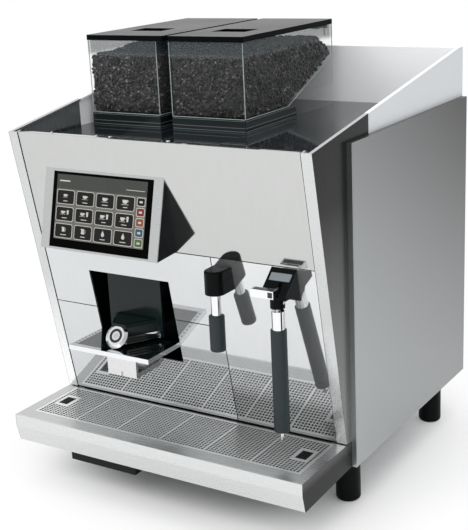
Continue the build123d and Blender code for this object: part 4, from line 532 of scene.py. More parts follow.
def housing_tone(metal, tone):
    """Display housing: brushed face, black wedge behind it."""
    face = metal.mix(tone, grey(0.50), grey(0.60))
    return metal.mix(behind_face(metal), face, (0.002, 0.003, 0.004, 1))


def housing_share(metal):
    """How metallic the display housing is: only its brushed face."""
    return 1 - behind_face(metal)


def dull(level):
    """The fixed socket of a surface that mirrors less than usual."""
    return {"Specular_Ior_Level": level}


# Every finish by the words a maker would use: what makes it, its values, and fixed sockets.
RECIPES = {
    "front_steel": (mirror_steel, (0.50, 0.507, 0.50), 0.06, 0.985),
    "strip_steel": (brushed_metal, (0.58, 0.59, 0.59), 0.26, "z", frame_tone, frame_share),
    "side_steel": (brushed_metal, (0.46, 0.475, 0.485), 0.33, "z", painted_skin_shade),
    "tray_steel": (brushed_metal, (0.80, 0.80, 0.79), 0.28, "x", tray_tone),
    "grid_steel": (brushed_metal, (0.86, 0.87, 0.86), 0.32, "x"),
    "grip_steel": (brushed_metal, (0.66, 0.66, 0.66), 0.28, "x"),
    "bezel_aluminium": (
        brushed_metal, (0.55, 0.56, 0.57), 0.30, "x", housing_tone, housing_share, dull(0.08),
    ),
    # The tap panel's last value makes painted shade along its foot.
    "tap_mirror": (mirror_steel, (0.665, 0.68, 0.69), 0.045, 0.88, 0.55),
    "mirror_panel": (mirror_steel, (0.61, 0.625, 0.635), 0.045, 0.88),
    "bright_chrome": (mirror_steel, (0.74, 0.75, 0.76), 0.05),
    "dark_glass_deck": (moulded, (0.008, 0.010, 0.013), 0.05, 0.000002, {"Ior": 2.9}),
    "mirror_black": (moulded, (0.004, 0.006, 0.006), 0.05, 0.000002, {"Ior": 2.8}),
    "gloss_black": (moulded, (0.006, 0.008, 0.009), 0.14, 0.00001),
    "lid_black": (moulded, (0.002, 0.003, 0.004), 0.24, 0.00002, dull(0.03)),
    "tap_black": (moulded, (0.002, 0.003, 0.003), 0.22, 0.00001, dull(0.06)),
    "matt_black": (moulded, (0.006, 0.008, 0.009), 0.48, dull(0.15)),
    "niche_black": (moulded, (0.001, 0.002, 0.002), 0.40, dull(0.05)),
    "apron_black": (moulded, (0.005, 0.010, 0.010), 0.16, 0.00001, dull(0.25)),
    "sleeve_rubber": (moulded, (0.014, 0.022, 0.024), 0.45, 0.00004, 900.0, dull(0.3)),
    "foot_rubber": (moulded, (0.003, 0.004, 0.004), 0.42, 0.00005, 700.0, dull(0.08)),
    "plinth_clear": (moulded, (0.008, 0.012, 0.012), 0.08, 0.000002, {"Ior": 1.4}),
    "edge_glint": (moulded, (0.36, 0.41, 0.41), 0.2, 0.000002),
    "plinth_glint": (moulded, (0.10, 0.13, 0.13), 0.2, 0.000002),
    "badge_face": (moulded, (0.42, 0.42, 0.42), 0.3, 0.00001),
    "pale_inset": (moulded, (0.16, 0.185, 0.20), 0.25, 0.00001),
    # rear_paint: inner colour, then the outer walls' colour darkened as painted shade.
    "rear_paint": (painted_sheet, (0.94, 0.955, 0.97, 1), (0.60, 0.62, 0.64, 1), 0.38),
    "hopper_clear": (smoky_clear, (0.40, 0.45, 0.46), 0.01, 0.12),
    "roasted_bean": (roasted_bean,),
    "zinc_sheet": (galvanised,),
    "cast_alloy": (moulded, (0.34, 0.35, 0.36), 0.5, 0.0001, 500.0),
    "yellow_brass": (brushed_metal, (0.62, 0.46, 0.20), 0.3, "y"),
    "screen_glass": (moulded, (0.001, 0.001, 0.001), 0.06, 0.000001, dull(0.02)),
    "picture_field": (lit_picture, (0.10, 0.097, 0.088), 0.13),
    "picture_header": (lit_picture, (0.036, 0.040, 0.036), 0.13),
    "picture_key": (lit_picture, (0.002, 0.002, 0.002), 0.10, 0.40),
    "picture_mark": (lit_picture, (0.38, 0.37, 0.345), 0.20),
    "picture_red": (lit_picture, (0.12, 0.020, 0.018), 0.25),
    "picture_orange": (lit_picture, (0.16, 0.050, 0.022), 0.25),
    "picture_blue": (lit_picture, (0.020, 0.060, 0.095), 0.25),
    "picture_green": (lit_picture, (0.045, 0.085, 0.030), 0.25),
}


def mix_finishes():
    """The materials of all recipes."""
    finishes = {}
    for name, (maker, *values) in RECIPES.items():
        fixed = values.pop() if values and isinstance(values[-1], dict) else {}
        finishes[name] = maker(name, *values, **fixed)
    return finishes


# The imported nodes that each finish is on. A node that comes twice is named without its side.
NODES_IN = {
    "zinc_sheet": "base_pan brew_screw boiler grinder_rotor",
    "strip_steel": "side_frame",
    "rear_paint": "rear_housing",
    "dark_glass_deck": "deck_plate",
    "side_steel": "side_panel",
    "front_steel": "upper_panel",
    "mirror_panel": "middle_panel drawer_front",
    "tap_mirror": "tap_panel",
    "grip_steel": "drawer_grip",
    "matt_black": (
        "grounds_bin drip_pan brew_frame brew_piston switch_frame switch_rocker "
        "cord_gland"
    ),
    "bezel_aluminium": "display_housing",
    "screen_glass": "display_glass",
    "niche_black": "niche_liner",
    "apron_black": "outlet_carriage",
    "bright_chrome": (
        "outlet_bow shelf_frame water_tube steam_lever steam_tube water_pipe "
        "steam_pipe hopper_lock"
    ),
    "mirror_black": "shelf_plate",
    "tray_steel": "drip_tray",
    "grid_steel": "drip_grid",
    "tap_black": "water_block steam_block steam_collar",
    "sleeve_rubber": "water_nozzle steam_sleeve",
    "pale_inset": "steam_inset",
    "cast_alloy": "pump grinder",
    "yellow_brass": "water_inlet",
    "foot_rubber": "feet",
    "hopper_clear": "hopper_body",
    "plinth_clear": "hopper_plinth hopper_gate",
    "roasted_bean": "hopper_beans",
    "lid_black": "hopper_lid",
}


def dress_nodes(finishes):
    """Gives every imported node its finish."""
    finish_of = {node: finish for finish, nodes in NODES_IN.items() for node in nodes.split()}
    for name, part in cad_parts.items():
        kind = name.removesuffix("_left").removesuffix("_right")
        for slot in part.material_slots:
            slot.link = "OBJECT"
            slot.material = finishes[finish_of[kind]]


# ---- mesh kit


class Stack:
    """Collects prisms and makes them one closed mesh piece."""

    def __init__(self):
        self.corners = []
        self.faces = []

    def prism(self, low, high):
        """A solid between two outlines with the same number of corners."""
        count = len(low)
        bottom = range(len(self.corners), len(self.corners) + count)
        top = range(bottom.stop, bottom.stop + count)
        self.corners += [Vector(point) * MM for point in [*low, *high]]
        self.faces += [bottom, top]
        for index in range(count):
            after = (index + 1) % count
            self.faces.append([bottom[index], bottom[after], top[after], top[index]])

    def box(self, low, high):
        """A solid between two opposite corners."""
        outline = ((low[0], low[1]), (high[0], low[1]), (high[0], high[1]), (low[0], high[1]))
        self.prism([(x, y, low[2]) for x, y in outline], [(x, y, high[2]) for x, y in outline])

    def shape(self):
        """What is collected, as a bmesh with its faces outward."""
        shape = bmesh.new()
        verts = [shape.verts.new(corner) for corner in self.corners]
        for face in self.faces:
            shape.faces.new([verts[index] for index in face])
        loose = [vert for vert in verts if not vert.link_faces]
        bmesh.ops.delete(shape, geom=loose, context="VERTS")
        bmesh.ops.recalc_face_normals(shape, faces=shape.faces)
        return shape

    def piece(self, name, finish, body, slot):
        """The closed piece in its finish, on its body."""
        mesh = mesh_of(name, self.shape())
        mesh.materials.append(finish)
        part = put(name, mesh)
        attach(part, body)
        return part


def arc(x, v, radius_x, radius_v, first, last, steps):
    """Points along part of an ellipse, between two angles."""
    angles = [math.radians(first + (last - first) * step / steps) for step in range(steps + 1)]
    return [(x + radius_x * math.cos(angle), v + radius_v * math.sin(angle)) for angle in angles]


def rounded(x0, x1, v0, v1, radius):
    """Corners of a rectangle with rounded corners."""
    points = []
    for x, v, first in (
        (x1 - radius, v1 - radius, 0), (x0 + radius, v1 - radius, 90),
        (x0 + radius, v0 + radius, 180), (x1 - radius, v0 + radius, 270),
    ):
        points += arc(x, v, radius, radius, first, first + 90, 4)
    return points


# ---- geometry trees


class Tree(Nodes):
    """A geometry tree with named inputs for its sizes."""

    def __init__(self, name, inputs):
        super().__init__(bpy.data.node_groups.new(name, "GeometryNodeTree"))
        face = self.tree.interface
        face.new_socket("Geometry", in_out="INPUT", socket_type="NodeSocketGeometry")
        for label, kind in inputs.items():
            face.new_socket(label, in_out="INPUT", socket_type="NodeSocket" + kind)
        face.new_socket("Geometry", in_out="OUTPUT", socket_type="NodeSocketGeometry")
        self.entry = self.tree.nodes.new("NodeGroupInput")

    def given(self, label="Geometry"):
        return Value(self, self.entry.outputs[label])

    def run(self, kind, **sockets):
        """A geometry node from its sockets' names, with _ for a space."""
        inputs = {label.replace("_", " "): value for label, value in sockets.items()}
        return self.node("GeometryNode" + kind, inputs=inputs)

    def vector(self, x=0.0, y=0.0, z=0.0):
        return self.node("ShaderNodeCombineXYZ", inputs={"X": x, "Y": y, "Z": z})

    def close(self, geometry, finish):
        """The tree's result: its geometry in one finish."""
        self.end(self.run("SetMaterial", Geometry=geometry, Material=finish), "NodeGroupOutput")

    def grow(self, base, name, sizes):
        """Runs the tree on a base object and gives back a plain mesh object."""
        modifier = base.modifiers.new(name, "NODES")
        modifier.node_group = self.tree
        for item in self.tree.interface.items_tree:
            if item.in_out == "INPUT" and item.name in sizes:
                modifier[item.identifier] = sizes[item.name]
        graph = bpy.context.evaluated_depsgraph_get()
        mesh = bpy.data.meshes.new_from_object(base.evaluated_get(graph), depsgraph=graph)
        base.modifiers.remove(modifier)
        bpy.data.objects.remove(base)
        mesh.name = name
        return put(name, mesh)


# The heap in each hopper, in millimetres: half its width, and its side outline (y, z), which
# rises from the front, runs level, and falls to the back.
BED_HALF = 51.0
BED_FRONT, BED_LEVEL_FROM, BED_LEVEL_TO = -44.6, 60.4, 144.0
BED_FRONT_TOP, BED_TOP = 523.4, 530.9
BED_FALL = 0.65
BED_OUTLINE = [
    (BED_FRONT, 454.2), (BED_FRONT, BED_FRONT_TOP), (BED_LEVEL_FROM, BED_TOP),
    (BED_LEVEL_TO, BED_TOP), (178.2, 508.7), (178.2, 504.4), (57.0, 454.2),
]
BED_CUTS = 7
BED_SKIN = 0.6

BEAN_SIZES = {
    "Length": 7.4 * MM, "Width": 5.4 * MM, "Thickness": 4.3 * MM, "Spacing": 4.1 * MM,
}
BEAN_SEEDS = {"left": 3, "right": 8}
BEANS_PER_SQUARE_METRE = 90000.0

# Crease of the bean before it is scaled: half its width, where it starts, and its depth.
CREASE_HALF, CREASE_FROM, CREASE_DEPTH = 0.02, 0.05, 0.42
TURN_LEAST, TURN_MOST = (-3.1, -0.3, 0.0), (3.1, 0.3, 6.28)
SCALE_LEAST, SCALE_MOST = (0.88, 0.88, 0.88), (1.05, 1.05, 1.05)


def bean_tree(finish):
    """Beans strewn over a bed, each turned at random."""
    tree = Tree("strewn_beans", {**dict.fromkeys(BEAN_SIZES, "Float"), "Seed": "Int"})
    seed = tree.given("Seed")
    spot = tree.node("GeometryNodeInputPosition")
    x = tree.node("ShaderNodeSeparateXYZ", inputs={0: spot}, output="X")
    crease = x.other("Y").size().is_below(CREASE_HALF) * x.is_above(CREASE_FROM)
    bean = tree.run("MeshUVSphere", Segments=7, Rings=5, Radius=0.5)
    inward = tree.vector(crease * (x * -CREASE_DEPTH))
    bean = tree.run("SetPosition", Geometry=bean, Offset=inward)
    shape = tree.vector(tree.given("Thickness"), tree.given("Width"), tree.given("Length"))
    bean = tree.run("Transform", Geometry=bean, Scale=shape)
    bean = tree.run("Transform", Geometry=bean, Rotation=(0, math.radians(90), 0))
    bean = tree.run("SetShadeSmooth", Geometry=bean)
    strewn = tree.node(
        "GeometryNodeDistributePointsOnFaces", {"distribute_method": "POISSON"},
        {"Mesh": tree.given(), "Distance Min": tree.given("Spacing"),
         "Density Max": BEANS_PER_SQUARE_METRE, "Seed": seed},
    )
    beans = tree.run(
        "InstanceOnPoints", Points=strewn, Instance=bean, Rotation=strewn.other("Rotation")
    )

    def at_random(least, most):
        return tree.node(
            "FunctionNodeRandomValue", {"data_type": "FLOAT_VECTOR"},
            {0: least, 1: most, "Seed": seed},
        )

    turn = at_random(TURN_LEAST, TURN_MOST)
    beans = tree.run("RotateInstances", Instances=beans, Rotation=turn, Local_Space=True)
    scale = at_random(SCALE_LEAST, SCALE_MOST)
    beans = tree.run("ScaleInstances", Instances=beans, Scale=scale)
    beans = tree.run("RealizeInstances", Geometry=beans)
    tree.close(tree.run("JoinGeometry", Geometry=[beans, tree.given()]), finish)
    return tree


def bean_bed(centre_x):
    """The heap that the beans lie on, with an uneven top."""
    heap = Stack()
    heap.prism(*([(centre_x + side * BED_HALF, y, z) for y, z in BED_OUTLINE] for side in (-1, 1)))
    shape = heap.shape()
    bmesh.ops.triangulate(shape, faces=shape.faces)
    bmesh.ops.subdivide_edges(shape, edges=shape.edges, cuts=BED_CUTS, use_grid_fill=True)
    rise = (BED_TOP - BED_FRONT_TOP) / (BED_LEVEL_FROM - BED_FRONT)
    for vert in shape.verts:
        place = vert.co / MM
        top = min(BED_TOP, BED_FRONT_TOP + (place.y - BED_FRONT) * rise)
        top -= max(0.0, place.y - BED_LEVEL_TO) * BED_FALL
        if place.z > top - BED_SKIN:
            wave = math.sin(place.x * 0.11) * math.sin(place.y * 0.083 + centre_x)
            wave += 0.6 * math.sin(place.x * 0.23 + 1.3) * math.cos(place.y * 0.19)
            vert.co.z += (wave - 1.4) * 0.6 * MM
    return put("bean_bed", mesh_of("bean_bed", shape))


def pour_beans(finishes):
    """A heap of loose beans in each hopper."""
    tree = bean_tree(finishes["roasted_bean"])
    for side, seed in BEAN_SEEDS.items():
        low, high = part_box("hopper_beans_" + side)
        bed = bean_bed((low.x + high.x) / 2 / MM)
        beans = tree.grow(bed, "loose_beans_" + side, {**BEAN_SIZES, "Seed": seed})
        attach(beans, "hopper_" + side)
        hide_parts("hopper_beans_" + side)


# ---- screen picture

# The picture in millimetres: x as on the machine, v up the glass from its lower edge.
FIELD_LEFT, FIELD_RIGHT = -142.0, -8.0
FIELD_LOW, FIELD_TOP = 13.0, 90.6
HEADER_LOW = 73.4
FIELD_RADIUS = 0.6
HEADER_LINES = (
    (FIELD_LEFT + 4, FIELD_LEFT + 20, 82.0, 83.6, 0.5),
    (FIELD_RIGHT - 30, FIELD_RIGHT - 3, 79.0, 79.7, 0.3),
)
KEYS_LEFT, KEYS_RIGHT = -140.8, -24.4
KEYS_LOW, KEYS_TOP = 14.4, 72.2
KEY_COLUMNS, KEY_ROWS = 4, 3
KEY_GAP, KEY_RIM, KEY_RADIUS = 3.0, 0.7, 2.6
SMALL_LEFT, SMALL_RIGHT = -21.4, -9.4
SMALL_GAP, SMALL_RIM, SMALL_RADIUS = 1.6, 0.8, 1.8
SMALL_TINTS = ("key", "red", "orange", "blue", "green")

# Each level of the picture lies a step higher over the glass, and the lowest starts in it.
PICTURE_STEP = 0.05
PICTURE_SINK = 0.02
MARK_LEVEL = 3


def on_screen(points, height):
    """Points of the screen plane, lifted off the glass."""
    return [
        SCREEN_FOOT + Vector((x, 0, 0)) + SCREEN_UP * v + SCREEN_OUT * height for x, v in points
    ]


def picture_plate(stack, points, level=MARK_LEVEL):
    """One flat part of the picture, on its own level above the glass."""
    stack.prism(
        on_screen(points, PICTURE_STEP * level * 0.5 - PICTURE_SINK),
        on_screen(points, PICTURE_STEP * (level + 1)),
    )


def arc_band(x, v, radius_x, radius_v, first, last, width):
    """A curved band, as of a handle."""
    outer = arc(x, v, radius_x, radius_v, first, last, 10)
    return outer + arc(x, v, radius_x - width, radius_v - width, last, first, 10)


def cup_mark(stack, x, v, width, height):
    """A plain cup: bowl, handle and saucer."""
    bowl = [(x - width / 2, v + height / 2), (x + width / 2, v + height / 2)]
    bowl += arc(x, v + height * 0.1, width / 2, height * 0.55, 0, -180, 8)
    picture_plate(stack, bowl)
    handle = arc_band(x + width / 2, v + height * 0.22, width * 0.24, height * 0.24, -80, 100, 0.5)
    picture_plate(stack, handle)
    half = width * 0.7
    saucer = rounded(x - half, x + half, v - height * 0.72, v - height * 0.6, 0.25)
    picture_plate(stack, saucer)


def glass_mark(stack, x, v, width, height):
    """A plain tall glass."""
    picture_plate(stack, [
        (x - width / 2, v + height / 2), (x + width / 2, v + height / 2),
        (x + width * 0.36, v - height / 2), (x - width * 0.36, v - height / 2),
    ])


def jug_mark(stack, x, v, size):
    """A plain milk jug with its spout and handle."""
    picture_plate(stack, [
        (x - size * 0.62, v + size * 0.62), (x + size * 0.4, v + size * 0.62),
        (x + size * 0.4, v + size * 0.2), (x + size * 0.55, v - size * 0.62),
        (x - size * 0.45, v - size * 0.62), (x - size * 0.38, v + size * 0.2),
    ])
    handle = arc_band(x + size * 0.45, v, size * 0.42, size * 0.5, -85, 85, 0.55)
    picture_plate(stack, handle)


def drop_mark(stack, x, v, size):
    """A plain drop of water."""
    half = size * 0.5
    round_end = arc(x, v - size * 0.2, half, half, -210, 30, 11)
    picture_plate(stack, [*round_end, (x, v + size * 0.9)])


def drink_mark(marks, row, column, x, v):
    """The icon of one key: cups, cups with a glass, milk jugs, drops."""
    if row == 0:
        cup_mark(marks, x - 0.6, v, 5.6 + column * 0.6, 3.2 + column * 0.5)
    elif row == 1:
        cup_mark(marks, x - 2.6, v, 6.0, 3.4 + column * 0.3)
        glass_mark(marks, x + 4.8, v + 0.4, 3.2, 5.0 + column * 0.4)
    elif column < 2:
        jug_mark(marks, x - 0.4, v, 4.4 + column * 0.6)
    else:
        drop_mark(marks, x, v, 4.6)


def light_screen(finishes):
    """The lit picture on the glass: header band, twelve drink keys and five small keys."""

    def plate(stack, x0, x1, v0, v1, radius, level=MARK_LEVEL):
        picture_plate(stack, rounded(x0, x1, v0, v1, radius), level)

    def key_plates(rim, key, x0, x1, v0, v1, width, radius, inner_radius):
        plate(rim, x0, x1, v0, v1, radius, 1)
        plate(key, x0 + width, x1 - width, v0 + width, v1 - width, inner_radius, 2)

    def show(stack, name, finish):
        stack.piece("screen_" + name, finishes["picture_" + finish], "machine", "screen_glass")

    field, header, rims, keys, marks = Stack(), Stack(), Stack(), Stack(), Stack()
    plate(field, FIELD_LEFT, FIELD_RIGHT, FIELD_LOW, HEADER_LOW, FIELD_RADIUS, 0)
    plate(header, FIELD_LEFT, FIELD_RIGHT, HEADER_LOW, FIELD_TOP, FIELD_RADIUS, 0)
    key_w = (KEYS_RIGHT - KEYS_LEFT + KEY_GAP) / KEY_COLUMNS - KEY_GAP
    key_h = (KEYS_TOP - KEYS_LOW + KEY_GAP) / KEY_ROWS - KEY_GAP
    for row in range(KEY_ROWS):
        for column in range(KEY_COLUMNS):
            x0 = KEYS_LEFT + column * (key_w + KEY_GAP)
            v0 = KEYS_LOW + (KEY_ROWS - 1 - row) * (key_h + KEY_GAP)
            key_plates(rims, keys, x0, x0 + key_w, v0, v0 + key_h, KEY_RIM, KEY_RADIUS, 2.2)
            middle = x0 + key_w / 2
            drink_mark(marks, row, column, middle, v0 + key_h * 0.60)
            half = (6.4 + (row + column) % 3 * 1.2) / 2
            line_v = v0 + key_h * 0.2
            plate(marks, middle - half, middle + half, line_v, line_v + 0.9, 0.3)
    for line in HEADER_LINES:
        plate(marks, *line, 1)
    show(field, "field", "field")
    show(header, "header", "header")
    show(rims, "key_rims", "mark")
    show(keys, "keys", "key")
    show(marks, "marks", "mark")
    count = len(SMALL_TINTS)
    small_h = (KEYS_TOP - KEYS_LOW + SMALL_GAP) / count - SMALL_GAP
    middle = (SMALL_LEFT + SMALL_RIGHT) / 2
    for number, tint in enumerate(SMALL_TINTS):
        v1 = KEYS_TOP - number * (small_h + SMALL_GAP)
        v0 = v1 - small_h
        rim, key, sign = Stack(), Stack(), Stack()
        key_plates(rim, key, SMALL_LEFT, SMALL_RIGHT, v0, v1, SMALL_RIM, SMALL_RADIUS, 1.5)
        plate(sign, middle - 2.2, middle + 2.2, v1 - small_h * 0.62, v1 - small_h * 0.4, 0.5)
        show(rim, f"small_rim_{number}", "mark")
        show(key, f"small_key_{number}", tint)
        show(sign, f"small_sign_{number}", "mark")


# ---- small trim

RING_STEPS = 48

# Signs of a square's corners.
SQUARE = ((1, 1), (-1, 1), (-1, -1), (1, -1))

# Painted highlights on the deck's edge, as small bright specks: half width, half depth and height
# of their foot and head.
GLINT_XS = (-150.0, -82.0, -62.0, 20.0)
GLINT_Y = -185.2
GLINT_FOOT = (1.6, 1.8, 449.6)
GLINT_HEAD = (1.2, 1.4, 450.6)


def fit_glint_specks(finishes):
    """Four small bright specks on the deck's front edge: painted highlights where the hoppers'
    edges glint in it.
    """
    stack = Stack()
    for x in GLINT_XS:
        stack.prism(*(
            [(x + a * half_x, GLINT_Y + b * half_y, z) for a, b in SQUARE]
            for half_x, half_y, z in (GLINT_FOOT, GLINT_HEAD)
        ))
    stack.piece("deck_glint_specks", finishes["bright_chrome"], "machine", "chrome")


BADGE_MIDDLE = (-69.3, -191.0, 204.0)
BADGE_TILT = 35.0

# Profiles about the nose's axis: radius, height.
BADGE_RIM = [(12.0, 0.4), (15.2, 2.2), (15.6, 2.9), (12.0, 5.3)]
BADGE_RING = [(5.6, 4.2), (9.0, 4.2), (9.0, 5.2), (5.6, 5.2)]
BADGE_DISC = [(0.4, 4.8), (4.0, 4.8), (3.7, 5.3), (0.4, 5.3)]

# The bow's flanks beside the badge: (x offset, y) of their ends, their outward side, and the
# painted dark reflection bands on them.
BOW_FOOT, BOW_WING = (13.0, -189.4), (35.4, -153.9)
BOW_OUTWARD = (0.846, -0.534)
REFLECTION_BAND_LOWS = (198.2, 201.4)
REFLECTION_BAND_H, REFLECTION_BAND_HALF = 1.3, 0.3

# Hoppers: middle x, half width, and the side view's corners (y, z) of the clear walls.
HOPPER_SIDES = {"left": -143.0, "right": -16.2}
HOPPER_HALF = 54.25
HOPPER_FRONT, HOPPER_FOOT, HOPPER_TOP = -48.0, 451.0, 542.8
FLOOR_LINE = (57.0, 451.2)
SLOPE_FROM, SLOPE_TO = (57.4, 451.4), (181.0, 501.9)
BACK_LINE = (181.4, 502.8)
PLINTH_BACK = 76.0
PLINTH_LINES = (436.2, 440.6, 449.0)
EDGE_W = 0.8
EDGE_IN = 0.3

# Opposite corners of the dark inlays on the steam lever, on its top and its front.
LEVER_INLAYS = (
    ((135.0, -205.2, 297.3), (160.4, -198.6, 297.75)),
    ((155.0, -207.25, 289.9), (160.6, -206.8, 296.0)),
)

# Screw heads in the back: columns with a screw at both ends, and rows between at the edges.
SCREW_Y = 221.0
SCREW_XS, SCREW_END_ZS = (-200.0, -68.0, 68.0, 200.0), (72.0, 498.0)
SCREW_EDGE_XS, SCREW_ROW_ZS = (-200.0, 200.0), (180.0, 290.0, 395.0)
SCREW_SIZES = {"Radius": 3.4 * MM, "Height": 1.6 * MM}
TO_THE_BACK = (math.radians(-90), 0, 0)


def turned_ring(name, profile, finish, slot):
    """A closed ring turned from a loop of (radius, height) points about the nose's axis."""
    tilt = math.radians(BADGE_TILT)
    axis = Vector((0, -math.cos(tilt), math.sin(tilt))).normalized()
    across = axis.orthogonal().normalized()
    upward = axis.cross(across)
    stack = Stack()
    count = len(profile)
    for step in range(RING_STEPS):
        angle = 2 * math.pi * step / RING_STEPS
        spoke = across * math.cos(angle) + upward * math.sin(angle)
        stack.corners += [
            (Vector(BADGE_MIDDLE) + spoke * radius + axis * height) * MM
            for radius, height in profile
        ]
        here, there = step * count, (step + 1) % RING_STEPS * count
        for index in range(count):
            after = (index + 1) % count
            stack.faces.append([here + index, here + after, there + after, there + index])
    stack.piece(name, finish, "outlet", slot)


def dress_badge(finishes):
    """Bright flared rim, black ring and plain disc on the outlet's round nose."""
    turned_ring("badge_rim", BADGE_RIM, finishes["bright_chrome"], "chrome")
    turned_ring("badge_black_ring", BADGE_RING, finishes["gloss_black"], "black_gloss")
    turned_ring("badge_disc", BADGE_DISC, finishes["badge_face"], "pale_inset")


def paint_bow_reflections(finishes):
    """Painted reflection: two dark bands round each flank of the outlet's bright bow."""
    reflection_bands = Stack()
    for side in (-1, 1):
        outward = Vector((side * BOW_OUTWARD[0], BOW_OUTWARD[1], 0)) * REFLECTION_BAND_HALF
        for low in REFLECTION_BAND_LOWS:
            high = low + REFLECTION_BAND_H
            reflection_bands.prism(*(
                [Vector((BADGE_MIDDLE[0] + side * x, y, low if b < 0 else high)) + outward * a
                 for a, b in SQUARE]
                for x, y in (BOW_FOOT, BOW_WING)
            ))
    reflection_bands.piece("bow_reflection_bands", finishes["gloss_black"], "outlet", "black_gloss")


def line_piece(stack, first, last):
    """A thin square bar along x, y or z, or on a slope in the side plane."""
    ends = (Vector(first), Vector(last))
    along = (ends[1] - ends[0]).normalized()
    side = Vector((1, 0, 0)) if abs(along.x) < 0.5 else Vector((0, 1, 0))
    rise = along.cross(side).normalized()
    corners = [(side * a + rise * b) * (EDGE_W / 2) for a, b in SQUARE]
    stack.prism(*([spot + corner for corner in corners] for spot in ends))


def paint_hopper_glints(finishes):
    """Painted highlights: pale bars inside the corners of the clear containers and lines on their
    plinths, standing for the glints along their edges.
    """
    inset = EDGE_IN + EDGE_W / 2
    front = HOPPER_FRONT + inset
    for name, x in HOPPER_SIDES.items():
        lines, foot = Stack(), Stack()
        for side in (-1, 1):
            edge_x = x + side * (HOPPER_HALF - inset)
            foot_x = edge_x + side * 0.5
            line_piece(lines, (edge_x, front, HOPPER_FOOT), (edge_x, front, HOPPER_TOP))
            for z in PLINTH_LINES:
                line_piece(foot, (foot_x, front, z), (foot_x, PLINTH_BACK, z))
            line_piece(lines, (edge_x, front + 1, FLOOR_LINE[1]), (edge_x, *FLOOR_LINE))
            line_piece(lines, (edge_x, *SLOPE_FROM), (edge_x, *SLOPE_TO))
            line_piece(lines, (edge_x, *BACK_LINE), (edge_x, BACK_LINE[0], HOPPER_TOP))
        half = HOPPER_HALF - 1.4
        line_piece(lines, (x - half, front, HOPPER_FOOT), (x + half, front, HOPPER_FOOT))
        half = HOPPER_HALF - 1
        for z in PLINTH_LINES:
            line_piece(foot, (x - half, front - 0.5, z), (x + half, front - 0.5, z))
        body = "hopper_" + name
        foot.piece("plinth_glint_lines_" + name, finishes["plinth_glint"], body, "black_gloss")
        lines.piece("hopper_edge_glints_" + name, finishes["edge_glint"], body, "smoky_clear")


# The fine grid in millimetres: webs between its fields, the rim round them, the bars between
# holes, and a window near each end.
GRID_FIELDS = 6
HOLES_ACROSS, HOLE_ROWS = 14, 18
GRID_WEB, GRID_RIM, GRID_BAR = 3.0, 4.0, 1.3
WINDOW_W, WINDOW_D, WINDOW_RIM = 14.2, 20.2, 1.6
WINDOW_FROM_END, WINDOW_Y = 18.4, -174.0


def hole_spans(first, last, count):
    """Low and high edges of a row of equal holes between two places."""
    pitch = (last - first + GRID_BAR) / count
    lows = [first + index * pitch for index in range(count)]
    return [(low, low + pitch - GRID_BAR) for low in lows]


def weave_grid(finishes):
    """The tray's fine perforated grid in six fields, with windows for the two small grilles."""
    low, high = (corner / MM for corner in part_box("drip_grid"))
    field_w = (high.x - low.x - 2 * GRID_RIM + GRID_WEB) / GRID_FIELDS
    columns = []
    for field in range(GRID_FIELDS):
        field_x = low.x + GRID_RIM + field * field_w
        columns += hole_spans(field_x, field_x + field_w - GRID_WEB, HOLES_ACROSS)
    rows = hole_spans(low.y + GRID_RIM, high.y - GRID_RIM, HOLE_ROWS)
    windows = [
        (x - WINDOW_W / 2, x + WINDOW_W / 2, WINDOW_Y - WINDOW_D / 2, WINDOW_Y + WINDOW_D / 2)
        for x in (low.x + WINDOW_FROM_END, high.x - WINDOW_FROM_END)
    ]

    def by_window(x0, x1, y0, y1):
        """Whether a hole would cut a window's rim."""
        rim = WINDOW_RIM
        return any(
            x1 > a - rim and x0 < b + rim and y1 > c - rim and y0 < d + rim
            for a, b, c, d in windows
        )

    holes = [(*column, *row) for column in columns for row in rows if not by_window(*column, *row)]
    holes += windows
    xs = sorted({low.x, high.x, *(x for hole in holes for x in hole[:2])})
    ys = sorted({low.y, high.y, *(y for hole in holes for y in hole[2:])})
    solid = {(i, j) for i in range(len(xs) - 1) for j in range(len(ys) - 1)}
    for x0, x1, y0, y1 in holes:
        across, along = range(xs.index(x0), xs.index(x1)), range(ys.index(y0), ys.index(y1))
        solid -= {(i, j) for i in across for j in along}
    weave = Stack()
    weave.corners = [Vector((x, y, z)) * MM for z in (low.z, high.z) for y in ys for x in xs]

    def corner(i, j, top):
        return (top * len(ys) + j) * len(xs) + i

    for i, j in sorted(solid):
        ring = [(i, j), (i + 1, j), (i + 1, j + 1), (i, j + 1)]
        for top in (0, 1):
            weave.faces.append([corner(a, b, top) for a, b in ring])
        beyond = [(i, j - 1), (i + 1, j), (i, j + 1), (i - 1, j)]
        for index, neighbour in enumerate(beyond):
            if neighbour not in solid:
                a, b = ring[index], ring[(index + 1) % 4]
                weave.faces.append([corner(*a, 0), corner(*b, 0), corner(*b, 1), corner(*a, 1)])
    grid = weave.piece("fine_drip_grid", finishes["grid_steel"], "grid", "brushed_steel")
    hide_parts("drip_grid")


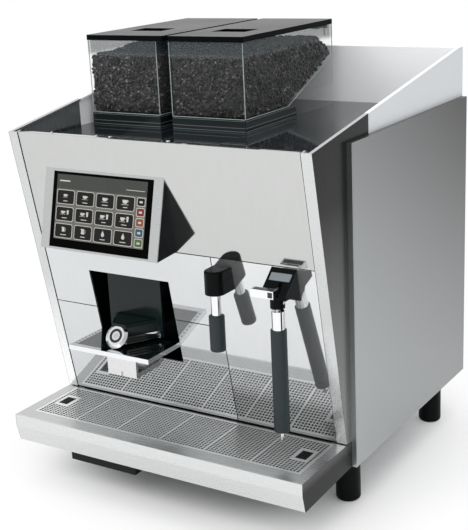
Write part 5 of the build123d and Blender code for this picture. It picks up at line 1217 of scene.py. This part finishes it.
def lay_shelf_plate(finishes):
    """The smooth dark plate of the cup shelf."""
    plate = Stack()
    plate.box(*(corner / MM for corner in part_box("shelf_plate")))
    sheet = plate.piece("smooth_shelf_plate", finishes["mirror_black"], "cup_shelf", "black_gloss")
    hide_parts("shelf_plate")


def trim_taps(finishes):
    """Dark inlays on the steam lever."""
    inlay = Stack()
    for corners in LEVER_INLAYS:
        inlay.box(*corners)
    inlay.piece("lever_inlays", finishes["gloss_black"], "lever", "black_gloss")


def screw_tree(finish):
    """A flat-topped screw head on each point of the base mesh."""
    tree = Tree("screw_heads", dict.fromkeys(SCREW_SIZES, "Float"))
    head = tree.run("MeshCone", Vertices=16, Radius_Top=0.72, Radius_Bottom=1.0, Depth=1.0)
    shape = tree.vector(tree.given("Radius"), tree.given("Radius"), tree.given("Height"))
    head = tree.run("Transform", Geometry=head, Scale=shape)
    points = tree.run("MeshToPoints", Mesh=tree.given())
    heads = tree.run("InstanceOnPoints", Points=points, Instance=head, Rotation=TO_THE_BACK)
    tree.close(tree.run("RealizeInstances", Geometry=heads), finish)
    return tree


def fit_screws(finishes):
    """Screw heads along the edges of the back."""
    spots = [(x, SCREW_Y, z) for x in SCREW_XS for z in SCREW_END_ZS]
    spots += [(x, SCREW_Y, z) for z in SCREW_ROW_ZS for x in SCREW_EDGE_XS]
    mesh = bpy.data.meshes.new("screw_spots")
    mesh.from_pydata([tuple(Vector(spot) * MM) for spot in spots], [], [])
    tree = screw_tree(finishes["zinc_sheet"])
    screws = tree.grow(put("screw_spots", mesh), "back_screws", SCREW_SIZES)
    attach(screws, "machine")


# ---- making

aim_camera()
light_the_room()
lay_floor()
lay_flag()
for light_name, light in LIGHTS.items():
    hang_light(light_name, *light)

finishes = mix_finishes()
dress_nodes(finishes)
pour_beans(finishes)
light_screen(finishes)
fit_glint_specks(finishes)
fit_screws(finishes)
dress_badge(finishes)
paint_bow_reflections(finishes)
paint_hopper_glints(finishes)
trim_taps(finishes)
lay_shelf_plate(finishes)
weave_grid(finishes)

bpy.context.scene.view_settings.view_transform = "Standard"
